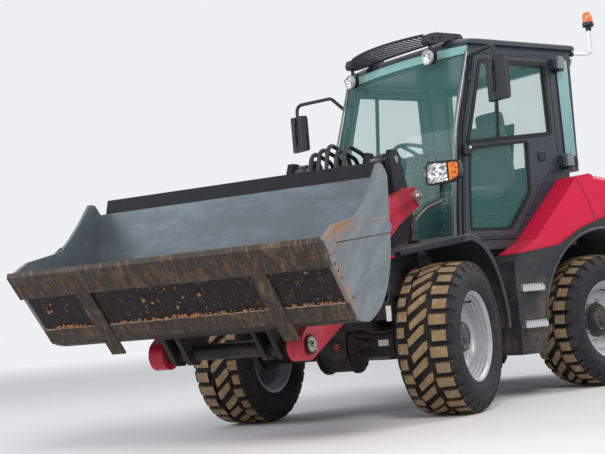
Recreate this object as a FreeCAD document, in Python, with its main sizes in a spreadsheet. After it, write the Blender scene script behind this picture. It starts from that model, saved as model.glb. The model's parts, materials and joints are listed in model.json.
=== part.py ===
# A compact articulated wheel loader, full size, in millimetres.
# X points forward along the rear frame, Y to the machine's left and Z up.
# Everything is laid out from the vertical axis of the centre joint, on the ground; at the end the
# whole machine is moved so that the origin lies under the middle of its overall box.
import FreeCAD, Part
import math
import os
import Sketcher
from FreeCAD import Placement, Rotation, Vector

document = FreeCAD.newDocument("wheel_loader")
sheet = document.addObject("Spreadsheet::Sheet", "Sizes")

# Driving dimensions: name, value in millimetres or degrees
SIZES = (
    ("steer_rest", 26),
    ("front_axle_ahead", 1050), ("rear_axle_behind", 1080), ("axle_track", 1400),
    ("tyre_radius", 457), ("tread_width", 330), ("tyre_width", 390), ("tyre_wall", 24),
    ("lug_height", 26), ("lug_count", 22), ("bead_radius", 254), ("rim_width", 330), ("rim_wall", 10),
    ("disc_radius", 150), ("hub_radius", 82), ("hub_length", 130), ("spindle_radius", 38),
    ("axle_radius", 88), ("axle_bulge", 165), ("hub_flange", 120),
    ("running_gap", 0.3), ("swing_gap", 4), ("panel_gap", 6),
    ("chassis_width", 460), ("chassis_wall", 30), ("chassis_low", 400), ("chassis_high", 760),
    ("knuckle_radius", 85), ("knuckle_thick", 60), ("knuckle_low", 440), ("knuckle_high", 680),
    ("fork_thick", 35), ("pivot_pin_radius", 32), ("rear_frame_end", 2060),
    ("tower_share", 0.2393), ("tower_wall", 40), ("ear_inset", 155), ("ear_wall", 25),
    ("boom_pivot_ahead", 830), ("boom_pivot_high", 1350), ("boom_length", 1815),
    ("boom_rest", -27.3), ("arm_gap", 10), ("arm_wall", 90), ("arm_crown", 185),
    ("arm_boss", 66), ("hitch_boss", 82), ("pin_radius", 30), ("pin_cap_radius", 52),
    ("cross_tube_radius", 55), ("lift_reach", 750), ("lift_drop", 8), ("lift_base_angle", -118.5),
    ("lift_inset", 65), ("lift_barrel_radius", 50), ("lift_barrel_length", 795),
    ("lift_rod_radius", 27), ("lift_rod_back", 160), ("eye_width", 56), ("eye_radius", 46),
    ("tilt_inset", 55), ("tilt_pin_ahead", 50), ("tilt_pin_above", 250),
    ("tilt_barrel_radius", 44), ("tilt_barrel_length", 950), ("tilt_rod_radius", 24),
    ("tilt_rod_back", 300), ("bucket_curl", 50.1), ("hitch_back", 336), ("hitch_up", 182),
    ("tilt_arm_ahead", 86), ("tilt_arm_up", 338), ("hitch_tube_radius", 44),
    ("bucket_width", 1850), ("bucket_plate", 14), ("bucket_side", 22), ("bucket_depth", 448),
    ("bucket_height", 840), ("edge_depth", 165), ("edge_thick", 22), ("edge_hole_radius", 11),
    ("edge_holes", 12), ("strap_side", 520), ("strap_width", 95), ("strap_thick", 16), ("band_thick", 5),
    ("fender_radius", 610), ("fender_wall", 10), ("fender_outreach", 180), ("fender_inset", 200),
    ("fender_lip", 34), ("arch_radius", 630), ("body_outreach", 168),
    ("skirt_low", 285), ("skirt_front", 190), ("step_thick", 42), ("step_length", 210), ("step_teeth", 8),
    ("cab_inset", 208), ("cab_wall", 50), ("cab_floor", 1000), ("cab_roof", 2400),
    ("cab_front", 110), ("cab_rear", 1150), ("cab_step", -1040), ("glass_bow", 100), ("glass_thick", 8),
    ("door_thick", 44), ("door_hinge_back", 985), ("door_hinge_stand", 58), ("roof_thick", 70),
    ("visor_half", 460), ("visor_cheek", 70), ("visor_bow", 70), ("visor_slats", 18),
    ("hood_inset", 88), ("hood_top", 1510), ("hood_round", 34), ("hood_slats", 6),
    ("slat_pitch", 26), ("slat_gap", 13), ("hood_low", 1180), ("hood_wall", 14),
    ("hood_front", 1085), ("rear_end", 2300), ("hood_hinge_back", 1150),
    ("hood_hinge_high", 1440),
    ("tube_radius", 17), ("lamp_radius", 52), ("hose_radius", 14),
)


class Measure:
    """A number worked out from the sheet, with the formula that keeps it bound to the sheet."""

    def __init__(self, number, formula):
        self.number = number
        self.formula = formula

    def __add__(self, other):
        other = measure(other)
        return Measure(self.number + other.number, f"({self.formula} + {other.formula})")

    def __sub__(self, other):
        other = measure(other)
        return Measure(self.number - other.number, f"({self.formula} - {other.formula})")

    def __mul__(self, other):
        other = measure(other)
        return Measure(self.number * other.number, f"({self.formula} * {other.formula})")

    def __truediv__(self, other):
        other = measure(other)
        return Measure(self.number / other.number, f"({self.formula} / {other.formula})")

    def __radd__(self, other):
        return measure(other) + self

    def __rsub__(self, other):
        return measure(other) - self

    def __rmul__(self, other):
        return measure(other) * self

    def __neg__(self):
        return measure(0) - self

    def __float__(self):
        return float(self.number)


def measure(value):
    if isinstance(value, Measure):
        return value
    return Measure(float(value), f"({float(value):.6f})")


class Sizes:
    """Every size of the sheet as an attribute."""

    def __init__(self):
        for row, (name, value) in enumerate(SIZES, start=1):
            sheet.set(f"A{row}", name)
            sheet.set(f"B{row}", str(value))
            sheet.setAlias(f"B{row}", name)
            setattr(self, name, Measure(float(value), f"Sizes.{name}"))


S = Sizes()

# Widths that follow from the track and from each other
half_track = S.axle_track / 2
S.tower_inner = S.axle_track * S.tower_share
S.tower_outer = S.tower_inner + S.tower_wall
S.ear_inner = S.tower_inner - S.ear_inset
S.arm_inner = S.tower_outer + S.arm_gap
S.lift_side = S.tower_inner - S.lift_inset
S.tilt_side = S.tower_inner - S.tilt_inset
S.fender_inner = half_track - S.fender_inset
S.fender_outer = half_track + S.fender_outreach
S.body_inner = S.fender_inner
S.body_half_width = half_track + S.body_outreach
S.cab_half_width = S.body_half_width - S.cab_inset
S.door_hinge_out = S.cab_half_width + S.door_hinge_stand
S.hood_half_width = S.body_half_width - S.hood_inset
document.recompute()


def bind(thing, prop, value):
    thing.setExpression(prop, measure(value).formula)


# Sketches and features

# plane name: role of the body's own plane, and +1 where its normal points along the axis
PLANES = {"XY": ("XY_Plane", 1), "XZ": ("XZ_Plane", -1), "YZ": ("YZ_Plane", 1)}


def new_body(label):
    body = document.addObject("PartDesign::Body", label)
    body.Label = label
    return body


def draw(body, plane, level, outline=(), circles=()):
    """Draws a closed outline of corners, or circles of (across, up, radius), at a level of a plane."""
    role, sense = PLANES[plane]
    base = [item for item in body.Origin.OriginFeatures if item.Role == role][0]
    sketch = body.newObject("Sketcher::SketchObject", body.Label + "_sketch")
    sketch.AttachmentSupport = [(base, "")]
    sketch.MapMode = "FlatFace"
    sketch.AttachmentOffset = Placement(Vector(0, 0, sense * float(level)), Rotation())
    bind(sketch, "AttachmentOffset.Base.z", measure(level) * sense)
    corners = [(measure(across), measure(up)) for across, up in outline]
    for index, (across, up) in enumerate(corners):
        end = corners[(index + 1) % len(corners)]
        line = Part.LineSegment(Vector(float(across), float(up), 0),
                                Vector(float(end[0]), float(end[1]), 0))
        sketch.addGeometry(line, False)
    for index, (across, up) in enumerate(corners):
        following = (index + 1) % len(corners)
        sketch.addConstraint(Sketcher.Constraint("Coincident", index, 2, following, 1))
        place_point(sketch, index, 1, across, up)
    for across, up, radius in circles:
        centre = Vector(float(across), float(up), 0)
        index = sketch.addGeometry(Part.Circle(centre, Vector(0, 0, 1), float(radius)), False)
        rule = sketch.addConstraint(Sketcher.Constraint("Radius", index, float(radius)))
        bind(sketch, f"Constraints[{rule}]", radius)
        place_point(sketch, index, 3, measure(across), measure(up))
    return sketch


def place_point(sketch, index, which, across, up):
    for kind, value in (("DistanceX", across), ("DistanceY", up)):
        rule = sketch.addConstraint(Sketcher.Constraint(kind, -1, 1, index, which, float(value)))
        bind(sketch, f"Constraints[{rule}]", value)


def add(body, plane, low, high, outline=(), circles=()):
    """Adds the outline to the body as a slab between two levels of the plane's axis."""
    start = high if PLANES[plane][1] < 0 else low
    pad = body.newObject("PartDesign::Pad", body.Label + "_pad")
    pad.Profile = draw(body, plane, start, outline, circles)
    bind(pad, "Length", measure(high) - low)
    return pad


def cut(body, plane, low, high, outline=(), circles=()):
    """Cuts the outline out of the body between two levels of the plane's axis."""
    start = low if PLANES[plane][1] < 0 else high
    pocket = body.newObject("PartDesign::Pocket", body.Label + "_pocket")
    pocket.Profile = draw(body, plane, start, outline, circles)
    bind(pocket, "Length", measure(high) - low)
    return pocket


def turn(body, outline, plane="YZ"):
    """Turns an outline of (along the axis, from the axis) about the first axis of the plane."""
    revolution = body.newObject("PartDesign::Revolution", body.Label + "_turn")
    sketch = draw(body, plane, 0, outline)
    revolution.Profile = sketch
    revolution.ReferenceAxis = (sketch, ["H_Axis"])
    revolution.Angle = 360
    return revolution


def soften(body, radius, wanted):
    """Rounds the edges of the body's last feature that the test picks."""
    document.recompute()
    base = body.Tip
    names = [f"Edge{i}" for i, edge in enumerate(base.Shape.Edges, start=1) if wanted(edge)]
    rounding = body.newObject("PartDesign::Fillet", body.Label + "_round")
    rounding.Base = (base, names)
    bind(rounding, "Radius", radius)
    return rounding


def along(axis, *spots, reach=2.0):
    """Picks straight edges along an axis, near the given places in the plane across it."""
    others = [i for i in range(3) if i != "XYZ".index(axis)]

    def wanted(edge):
        if len(edge.Vertexes) != 2 or edge.Curve.TypeId != "Part::GeomLine":
            return False
        ends = [vertex.Point for vertex in edge.Vertexes]
        if any(abs(ends[0][i] - ends[1][i]) > 0.01 for i in others):
            return False
        if not spots:
            return True
        flat = [ends[0][i] for i in others]
        return any(math.dist(flat, (float(a), float(b))) < reach for a, b in spots)
    return wanted


# Plain solids

def bar(name, radius, low, high, across=0, up=0, axis="Y"):
    """A round bar along an axis from one level to another, bound to the sheet."""
    piece = document.addObject("Part::Cylinder", name)
    bind(piece, "Radius", radius)
    bind(piece, "Height", measure(high) - low)
    turns = {"X": Rotation(Vector(0, 1, 0), 90), "Y": Rotation(Vector(1, 0, 0), -90), "Z": Rotation()}
    piece.Placement = Placement(Vector(), turns[axis])
    spots = {"X": (low, across, up), "Y": (across, low, up), "Z": (across, up, low)}[axis]
    for letter, value in zip("xyz", spots):
        bind(piece, f"Placement.Base.{letter}", value)
    return piece


def block(name, low, high):
    """A rectangular block between two corners, bound to the sheet."""
    piece = document.addObject("Part::Box", name)
    for prop, letter, start, end in zip(("Length", "Width", "Height"), "xyz", low, high):
        bind(piece, prop, measure(end) - start)
        bind(piece, f"Placement.Base.{letter}", start)
    return piece


def joined(name, pieces):
    piece = document.addObject("Part::MultiFuse", name)
    piece.Shapes = pieces
    piece.Refine = True
    return piece


def less(name, base, tools):
    tool = tools[0] if len(tools) == 1 else joined(name + "_tools", tools)
    piece = document.addObject("Part::Cut", name)
    piece.Base = base
    piece.Tool = tool
    return piece


def group(name, pieces):
    piece = document.addObject("Part::Compound", name)
    piece.Links = pieces
    return piece


def mirrored(piece):
    """The same piece on the other side of the machine's middle."""
    twin = document.addObject("Part::Mirroring", piece.Name + "_twin")
    twin.Source = piece
    twin.Normal = Vector(0, 1, 0)
    return twin


def both_sides(label, *pieces):
    twins = [mirrored(piece) for piece in pieces]
    return group(label, list(pieces) + twins)


def held(name, shape):
    piece = document.addObject("Part::Feature", name)
    piece.Shape = shape
    return piece


def tube_path(points, bend):
    """Straight runs between the points, joined by tangent arcs of one bend radius."""
    points = [Vector(*[float(value) for value in point]) for point in points]
    edges = []
    start = points[0]
    for before, corner, after in zip(points, points[1:], points[2:]):
        inward = (before - corner).normalize()
        outward = (after - corner).normalize()
        half = math.acos(max(-1.0, min(1.0, inward.dot(outward)))) / 2
        back = bend / math.tan(half)
        first = corner + inward * back
        last = corner + outward * back
        middle_way = (inward + outward).normalize()
        middle = corner + middle_way * (bend / math.sin(half) - bend)
        edges.append(Part.LineSegment(start, first).toShape())
        edges.append(Part.Arc(first, middle, last).toShape())
        start = last
    edges.append(Part.LineSegment(start, points[-1]).toShape())
    return Part.Wire(edges)


def tube(points, radius, bend):
    path = tube_path(points, bend)
    first = path.Edges[0]
    heading = first.tangentAt(first.FirstParameter)
    ring = Part.Wire([Part.Circle(first.valueAt(first.FirstParameter), heading, float(radius)).toShape()])
    return path.makePipeShell([ring], True, False)


# Frames that the groups of pieces are laid out in

def swing(angle):
    """A turn in the machine's side view, positive from forward towards up."""
    return Rotation(Vector(0, 1, 0), -float(angle))


def side_point(length, angle):
    """A point of the side view, given by its distance and angle from the origin."""
    return Vector(length * math.cos(math.radians(angle)), 0, length * math.sin(math.radians(angle)))


boom_pivot = Vector(float(S.boom_pivot_ahead), 0, float(S.boom_pivot_high))
hitch_point = boom_pivot + side_point(float(S.boom_length), float(S.boom_rest))
tilt_base = boom_pivot + Vector(float(S.tilt_pin_ahead), 0, float(S.tilt_pin_above))
tilt_arm = swing(S.bucket_curl).multVec(Vector(float(S.tilt_arm_ahead), 0, float(S.tilt_arm_up)))
tilt_eye = hitch_point + tilt_arm
lift_base = boom_pivot + side_point(float(S.lift_reach), float(S.lift_base_angle))
lift_eye = boom_pivot + side_point(float(S.lift_reach), float(S.boom_rest - S.lift_drop))
lift_span = (lift_eye - lift_base).Length
lift_angle = math.degrees(math.atan2((lift_eye - lift_base).z, (lift_eye - lift_base).x))
tilt_span = (tilt_eye - tilt_base).Length
tilt_angle = math.degrees(math.atan2((tilt_eye - tilt_base).z, (tilt_eye - tilt_base).x))

steered = Placement(Vector(), Rotation(Vector(0, 0, 1), float(S.steer_rest)))
still = Placement()
bucket_corner = swing(S.bucket_curl).multVec(Vector(float(-S.hitch_back), 0, float(S.hitch_up)))
FRAMES = {
    "rear": still,
    "front": steered,
    "boom": steered * Placement(boom_pivot, swing(S.boom_rest)),
    "bucket": steered * Placement(hitch_point - bucket_corner, swing(S.bucket_curl)),
    "lift": steered * Placement(lift_base, swing(lift_angle)),
    "tilt": steered * Placement(tilt_base, swing(tilt_angle)),
    "hitch": steered * Placement(hitch_point, swing(0)),
}

# Every finished piece: its object and the frame that it is laid out in
pieces = {}


def finish(piece, frame, label=None):
    if label:
        piece.Label = label
    pieces[piece.Label] = (piece, frame)
    return piece


# Wheels: place name, frame, distance ahead of the centre joint, side
WHEELS = (
    ("front_left", "front", S.front_axle_ahead, 1),
    ("front_right", "front", S.front_axle_ahead, -1),
    ("rear_left", "rear", -S.rear_axle_behind, 1),
    ("rear_right", "rear", -S.rear_axle_behind, -1),
)
disc_level = S.rim_width / 2 - 150


# Blocks of the tread for one pitch: inner end and outer end across, start and end along the pitch,
# as shares of half the tread width and of the pitch; the centre bar is slanted by its own share
TREAD = (
    ("outer_block", 0.36, 1.0, 0.05, 0.60, 0.0),
    ("inner_block", -1.0, -0.60, 0.40, 0.95, 0.0),
    ("centre_bar", -0.48, 0.22, 0.04, 0.52, 0.44),
)
tyre_shapes = {}


def tyre_shape():
    """A hollow tyre of flat facets about Y, with a facet for each pitch of the lugs fused to it."""
    if tyre_shapes:
        return tyre_shapes["tyre"]
    count = int(float(S.lug_count))
    radius = float(S.tyre_radius)
    floor = radius - float(S.lug_height)
    half = float(S.tread_width) / 2
    wide = float(S.tyre_width) / 2
    bead = float(S.rim_width) / 2 - 24
    toe = float(S.bead_radius + S.running_gap) / math.cos(math.pi / count)
    wall = float(S.tyre_wall)
    bulge = (radius + toe) / 2
    right = [(half, floor), (wide, bulge + 20), (bead, toe), (bead - wall, toe),
             (half - wall, floor - 40)]
    outline = right + [(-across, up) for across, up in reversed(right)]
    pitch = 2 * math.pi / count

    def at(across, up, turned):
        return Vector(up * math.sin(turned), across, up * math.cos(turned))

    rings = [[at(across, up, (step - 0.5) * pitch) for across, up in outline]
             for step in range(count)]
    faces = []
    for here, there in zip(rings, rings[1:] + rings[:1]):
        for i in range(len(outline)):
            j = (i + 1) % len(outline)
            faces.append(Part.Face(Part.makePolygon([here[i], here[j], there[j], there[i], here[i]])))
    carcass = Part.Solid(Part.Shell(faces))
    if carcass.Volume < 0:
        carcass.reverse()
    flat = math.cos(pitch / 2)
    long = 2 * radius * math.tan(pitch / 2)
    blocks = []
    for name, low, high, start, stop, slant in TREAD:
        shift = slant * long
        foot = (floor - 6) * flat
        ends = ((low * half, start * long), (high * half, start * long + shift),
                (high * half, stop * long + shift), (low * half, stop * long))
        lug = Part.Face(Part.makePolygon([
            Vector(along_pitch - long / 2, across, foot) for across, along_pitch in ends + ends[:1]]))
        lug = lug.extrude(Vector(0, 0, radius - 1 - foot))
        for step in range(count):
            block_shape = lug.copy()
            block_shape.rotate(Vector(), Vector(0, 1, 0), math.degrees(step * pitch))
            blocks.append(block_shape)
    tyre_shapes["tyre"] = carcass.multiFuse(blocks).removeSplitter()
    return tyre_shapes["tyre"]


def make_tyre(label):
    return held(label, tyre_shape().copy())


def make_rim(label):
    """A deep dished disc wheel with stepped flanges, its hub drum and a ring of stud holes."""
    half = S.rim_width / 2
    wall = S.rim_wall
    inner = S.bead_radius - wall
    disc = disc_level
    outline = (
        (half, S.bead_radius + 16), (half, S.bead_radius - wall), (half - 30, inner),
        (half - 40, inner - 18), (disc + 46, inner - 26), (disc + 16, S.disc_radius + 14),
        (disc + 12, S.hub_radius + 22), (disc + 70, S.hub_radius - 6), (disc + 76, 0),
        (disc - S.hub_length, 0), (disc - S.hub_length, S.hub_radius), (disc, S.hub_radius),
        (disc, S.disc_radius), (disc + 30, inner - 36), (-half + 60, inner - 28),
        (-half + 30, inner), (-half, inner), (-half, S.bead_radius + 16),
        (-half + 12, S.bead_radius + 16), (-half + 12, S.bead_radius), (half - 12, S.bead_radius),
        (half - 12, S.bead_radius + 16),
    )
    body = new_body(label)
    turn(body, outline)
    bore = cut(body, "XZ", disc - S.hub_length - 5, disc - 20,
               circles=((0, 0, S.spindle_radius + S.running_gap),))
    body.Tip = bore
    return body


def make_wheels():
    for place, frame, ahead, side in WHEELS:
        spot = Vector(float(ahead), side * float(S.axle_track) / 2, float(S.tyre_radius))
        facing = Rotation() if side > 0 else Rotation(Vector(0, 0, 1), 180)
        for maker, kind in ((make_tyre, "tyre"), (make_rim, "rim")):
            piece = maker(f"{kind}_{place}")
            piece.Placement = Placement(spot, facing)
            finish(piece, frame)


# Axles

def make_axle(label, ahead, frame):
    """A beam axle: swollen casing in the middle, arms, hub flanges and the spindles."""
    wheel_inner = S.axle_track / 2 + disc_level - S.hub_length
    flange = wheel_inner - S.swing_gap
    outline = (
        (-(flange + 90), 0), (-(flange + 90), S.spindle_radius), (-flange, S.spindle_radius),
        (-flange, S.hub_flange), (-(flange - 36), S.hub_flange), (-(flange - 60), S.axle_radius),
        (-200, S.axle_radius), (-120, S.axle_bulge), (60, S.axle_bulge), (150, S.axle_radius),
        (flange - 60, S.axle_radius), (flange - 36, S.hub_flange), (flange, S.hub_flange),
        (flange, S.spindle_radius), (flange + 90, S.spindle_radius), (flange + 90, 0),
    )
    body = new_body(label)
    turn(body, outline)
    body.Placement = Placement(Vector(float(ahead), 0, float(S.tyre_radius)), Rotation())
    return finish(body, frame)


# Rear frame

def make_rear_chassis():
    """Two long side plates, cross plates, and the two knuckles of the centre joint."""
    half = S.chassis_width / 2
    wall = S.chassis_wall
    nose = -150
    low = S.tyre_radius + S.axle_radius
    pieces_here = []
    side = new_body("rear_side_plate")
    add(side, "XZ", half - wall, half, (
        (nose, S.chassis_low), (nose, S.chassis_high), (-S.rear_frame_end, S.chassis_high),
        (-S.rear_frame_end, low + 10), (-S.rear_axle_behind - 260, low),
        (-S.rear_axle_behind + 260, low), (-S.rear_axle_behind + 420, S.chassis_low)))
    pieces_here += [side, mirrored(side)]
    pieces_here.append(block("rear_nose_plate", (nose - wall, -half, S.chassis_low),
                             (nose, half, S.chassis_high)))
    pieces_here.append(block("rear_mid_plate", (-640 - wall, -half, S.chassis_low + 20),
                             (-640, half, S.chassis_high)))
    for name, ahead in (("front", nose - 60), ("rear", -480)):
        pieces_here.append(block(f"cab_mount_{name}", (measure(ahead) - 30, -half - 60, 730),
                                 (measure(ahead) + 30, half + 60, S.cab_floor)))
    for name, ahead in (("front", -350), ("rear", -1860)):
        reach = S.body_inner - S.running_gap
        pieces_here.append(block(f"fender_beam_{name}", (ahead, -reach, 700), (ahead + 40, reach, 760)))
    for side in (-1, 1):
        post_low = side * 240 - 15
        pieces_here.append(block(f"hood_post_{side}", (-S.hood_hinge_back - 20, post_low, 740),
                                 (-S.hood_hinge_back + 20, post_low + 30, S.hood_hinge_high + 14)))
        pieces_here.append(block(f"hood_post_foot_{side}", (-S.hood_hinge_back - 20, side * 225 - 20,
                                                            700),
                                 (-S.hood_hinge_back + 20, side * 225 + 20, S.chassis_high)))
        ends = sorted((side * 186, side * 240))
        pieces_here.append(bar(f"hood_pin_{side}", 10, ends[0], ends[1], -S.hood_hinge_back,
                               S.hood_hinge_high))
    for name, level in (("lower", S.knuckle_low), ("upper", S.knuckle_high)):
        knuckle = new_body(f"{name}_knuckle")
        top = level + S.knuckle_thick
        add(knuckle, "XY", level, top, ((nose, -150), (0, -S.knuckle_radius),
                                        (0, S.knuckle_radius), (nose, 150)))
        add(knuckle, "XY", level, top, circles=((0, 0, S.knuckle_radius),))
        cut(knuckle, "XY", level - 1, top + 1,
            circles=((0, 0, S.pivot_pin_radius + S.running_gap),))
        pieces_here.append(knuckle)
    finish(joined("rear_chassis", pieces_here), "rear")


def wing_line():
    """Top line of the rear side bodies, from the front, which the side panels sit on."""
    front = -S.skirt_front
    return ((front - 60, 950), (front - 466, 998), (front - 692, 1104), (-1155, S.hood_low - 4))


def make_rear_fenders():
    """Moulded side bodies: skirt with the tank behind it, wheel arch and rear wing."""
    front = -S.skirt_front
    axle = -S.rear_axle_behind
    side = new_body("rear_fender_side")
    add(side, "XZ", S.body_inner, S.body_half_width, (
        (front, S.skirt_low), (front, 900), *wing_line(), (axle - 420, S.hood_low - 4),
        (axle - 700, 1060), (axle - 800, 860), (axle - 820, 600), (axle - 560, 600),
        (axle, 600), (front - 280, 457), (front - 220, S.skirt_low)))
    cut(side, "XZ", S.body_inner - 1, S.body_half_width + 1,
        circles=((axle, S.tyre_radius, S.arch_radius),))
    soften(side, 90, along("Y", (axle - 420, S.hood_low - 4), (axle - 700, 1060), (axle - 800, 860)))
    cab_back = S.cab_step - S.panel_gap
    cut(side, "XZ", S.body_inner - 1, S.cab_half_width + S.panel_gap, (
        (cab_back, S.cab_floor - S.panel_gap), (front + 20, S.cab_floor - S.panel_gap),
        (front + 20, S.hood_low), (cab_back, S.hood_low)))
    finish(both_sides("rear_fenders", side), "rear")


def make_side_panels():
    """Three-cornered panels below the slanted rear corner of the cab."""
    tip = -S.skirt_front - 62
    seat = [(ahead, high + S.running_gap) for ahead, high in reversed(wing_line()[1:3])]
    panel = new_body("side_panel")
    add(panel, "XZ", S.cab_half_width + S.panel_gap, S.body_half_width - 20, (
        (tip, 952), (tip - 2, 958), (tip - 188, 1044), (tip - 640, 1461), (tip - 775, 1484),
        (-1060, 1470), (-1144, S.hood_low - 4), *seat))
    finish(both_sides("side_panels", panel), "rear")


def make_engine():
    engine = block("engine_casting", (-S.rear_end + 300, -270, S.chassis_high),
                   (-S.hood_front - 275, 270, 1320))
    finish(group("engine_block", [engine]), "rear")


def make_counterweight():
    """The cast tail between the rear wings, hollowed for the cooler's air."""
    body = new_body("counterweight")
    end = -S.rear_end
    add(body, "XY", 480, 1000, (
        (end + 60, -620), (end, -520), (end, 520), (end + 60, 620), (end + 240, 620),
        (end + 240, -620)))
    cut(body, "YZ", end - 1, end + 90, ((-260, 760), (260, 760), (260, 1001), (-260, 1001)))
    finish(body, "rear")


def make_hood():
    """The engine hood: a thin shell, open below and in front, with rows of air slots in its tail."""
    half = S.hood_half_width
    wall = S.hood_wall
    end = -S.rear_end
    front = -S.hood_front - S.panel_gap
    low = S.hood_low + S.panel_gap
    tail = 1008
    body = new_body("hood_shell")
    add(body, "XZ", -half, half, (
        (-1154, low), (front, S.hood_top - 20), (front - 300, S.hood_top - 60),
        (end + 120, S.hood_top - 170), (end, low), (end, tail), (end + 400, tail),
        (end + 515, 1072), (-1505, low)))
    soften(body, S.hood_round, lambda edge: edge.Curve.TypeId == "Part::GeomLine" and abs(
        abs(edge.CenterOfMass.y) - float(half)) < 1 and edge.CenterOfMass.z > float(low) + 40
        and edge.CenterOfMass.x < float(front) - 40)
    cut(body, "XZ", -half + wall, half - wall, (
        (-1140, low - 190), (front + 30, S.hood_top - 20 - wall),
        (front - 300, S.hood_top - 60 - wall), (end + 120 + wall, S.hood_top - 170 - wall),
        (end + wall, low), (end + wall, tail - 1)))
    slots = []
    for row in range(int(float(S.hood_slats))):
        foot = tail + 22 + S.slat_pitch * row
        for name, low_side, high_side in (("left", 20, half - 190), ("right", 190 - half, measure(-20))):
            slots.append(block(f"hood_slot_{name}_{row}", (end - 5, low_side, foot),
                               (end + wall + 5, high_side, foot + S.slat_gap)))
    shell = less("hood_grille", body, slots)
    lugs = []
    for side in (-1, 1):
        lug = new_body(f"hood_lug_{'left' if side > 0 else 'right'}")
        middle = side * 202
        add(lug, "XZ", middle - 12, middle + 12, (
            (-S.hood_hinge_back - 30, S.hood_top - 38), (-S.hood_hinge_back + 30, S.hood_top - 38),
            (-S.hood_hinge_back + 18, S.hood_hinge_high - 18),
            (-S.hood_hinge_back - 18, S.hood_hinge_high - 18)))
        cut(lug, "XZ", middle - 13, middle + 13, circles=(
            (-S.hood_hinge_back, S.hood_hinge_high, 10 + S.running_gap),))
        lugs.append(lug)
    finish(joined("hood", [shell] + lugs), "rear")
    pipe_side = 120 - S.body_inner
    pipe = tube(((-1750, -270.3, 850), (-1750, pipe_side, 850), (-1750, pipe_side, 450),
                 (-2040, pipe_side, 430)),
                25, 60)
    finish(held("exhaust", pipe), "rear")


def make_rear_details():
    lamps = [block(f"rear_lamp_{name}", (-S.rear_end - 12, side * 440 - 55, 880),
                   (-S.rear_end, side * 440 + 55, 950))
             for name, side in (("left", 1), ("right", -1))]
    finish(group("rear_lamps", lamps), "rear")
    jaw = new_body("tow_coupling")
    end = -S.rear_end
    add(jaw, "YZ", end - 12, end, ((-90, 520), (90, 520), (90, 700), (-90, 700)))
    for level in (545, 645):
        add(jaw, "XY", level, level + 25, ((end, -60), (end - 90, -60), (end - 110, 0),
                                           (end - 90, 60), (end, 60)))
    cut(jaw, "XY", 540, 675, circles=((end - 60, 0, 16),))
    finish(jaw, "rear")


def make_steps():
    """Serrated access steps in front of each rear wheel, two treads on hanger plates."""
    outer = S.body_half_width + 40
    front = -S.skirt_front - 12
    treads = []
    teeth = int(float(S.step_teeth))
    tooth = S.step_length / teeth
    for name, level in (("low", 500), ("high", 740)):
        tread = new_body(f"step_{name}")
        top = []
        for index in range(teeth):
            top += [(front - tooth * index, level - 8), (front - tooth * (index + 0.5), level)]
        add(tread, "XZ", S.body_half_width, outer, (
            (front - S.step_length, level - S.step_thick), (front, level - S.step_thick), *top,
            (front - S.step_length, level - 8)))
        treads.append(tread)
    finish(both_sides("steps", *treads), "rear")


# Cab

def cab_side(inset):
    """Corners of the cab in side view, drawn in by an inset."""
    front = S.cab_front - inset
    rear = -S.cab_rear + inset
    return ((front, S.cab_floor + inset), (front - 25, 1280), (front - 110, 1824),
            (front - 285, S.cab_roof - inset), (rear - 10, S.cab_roof - inset),
            (rear + 10, 1525 + inset), (S.cab_step + inset, 1525 + inset),
            (S.cab_step + inset, S.cab_floor + inset))


def door_outline(grow):
    """Corners of the door in side view, from the front foot round the back, grown by a gap."""
    return ((50 + grow, 1068 - grow), (-440 - grow * 0.6, 1068 - grow),
            (-845 - grow * 0.6, 1520 - grow), (-948 - grow, 1524 - grow),
            (-930 - grow, 2345 + grow), (-205 + grow * 0.6, 2345 + grow),
            (-40 + grow, 1824), (30 + grow, 1279))


# Heights of the middles of the door hinges
HINGE_LEVELS = (1590, 2285)


def make_cab_frame():
    """The hollow cab: floor, pillars, roof rails and a rear wall, with its openings cut."""
    half = S.cab_half_width
    wall = S.cab_wall
    body = new_body("cab_shell")
    add(body, "XZ", -half, half, cab_side(0))
    cut(body, "XZ", -half + wall, half - wall, cab_side(wall))
    for low, high in ((half - wall - 1, half + 1), (-half - 1, -half + wall + 1)):
        cut(body, "XZ", low, high, door_outline(S.panel_gap))
    cut(body, "YZ", -250, S.cab_front + 10, ((-half + wall, 1090), (half - wall, 1090),
                                             (half - wall, 2330), (-half + wall, 2330)))
    cut(body, "YZ", -S.cab_rear - 20, -S.cab_rear + wall + 30, (
        (-half + 70, 1620), (half - 70, 1620), (half - 70, 2300), (-half + 70, 2300)))
    hinges = []
    for name, side in (("left", 1), ("right", -1)):
        for level in HINGE_LEVELS:
            hinges.append(bar(f"hinge_pin_{name}_{level}", 8, level - 46, level + 46,
                              -S.door_hinge_back, side * S.door_hinge_out, "Z"))
            for low in (level - 50, level + 40):
                ends = sorted((float(side * (half - 4)), float(side * (S.door_hinge_out + 14))))
                reach = (side * (half - 4), side * (S.door_hinge_out + 14))
                near, far = reach if ends[0] == float(reach[0]) else (reach[1], reach[0])
                hinges.append(block(f"hinge_leaf_{name}_{low}", (-S.door_hinge_back - 15, near, low),
                                    (-S.door_hinge_back + 15, far, low + 10)))
    finish(joined("cab_frame", [body] + hinges), "rear")


def front_line():
    """The cab's front edge in side view, from the floor to the roof."""
    front = S.cab_front
    return ((front, S.cab_floor), (front - 25, 1280), (front - 110, 1824),
            (front - 285, S.cab_roof))


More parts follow.
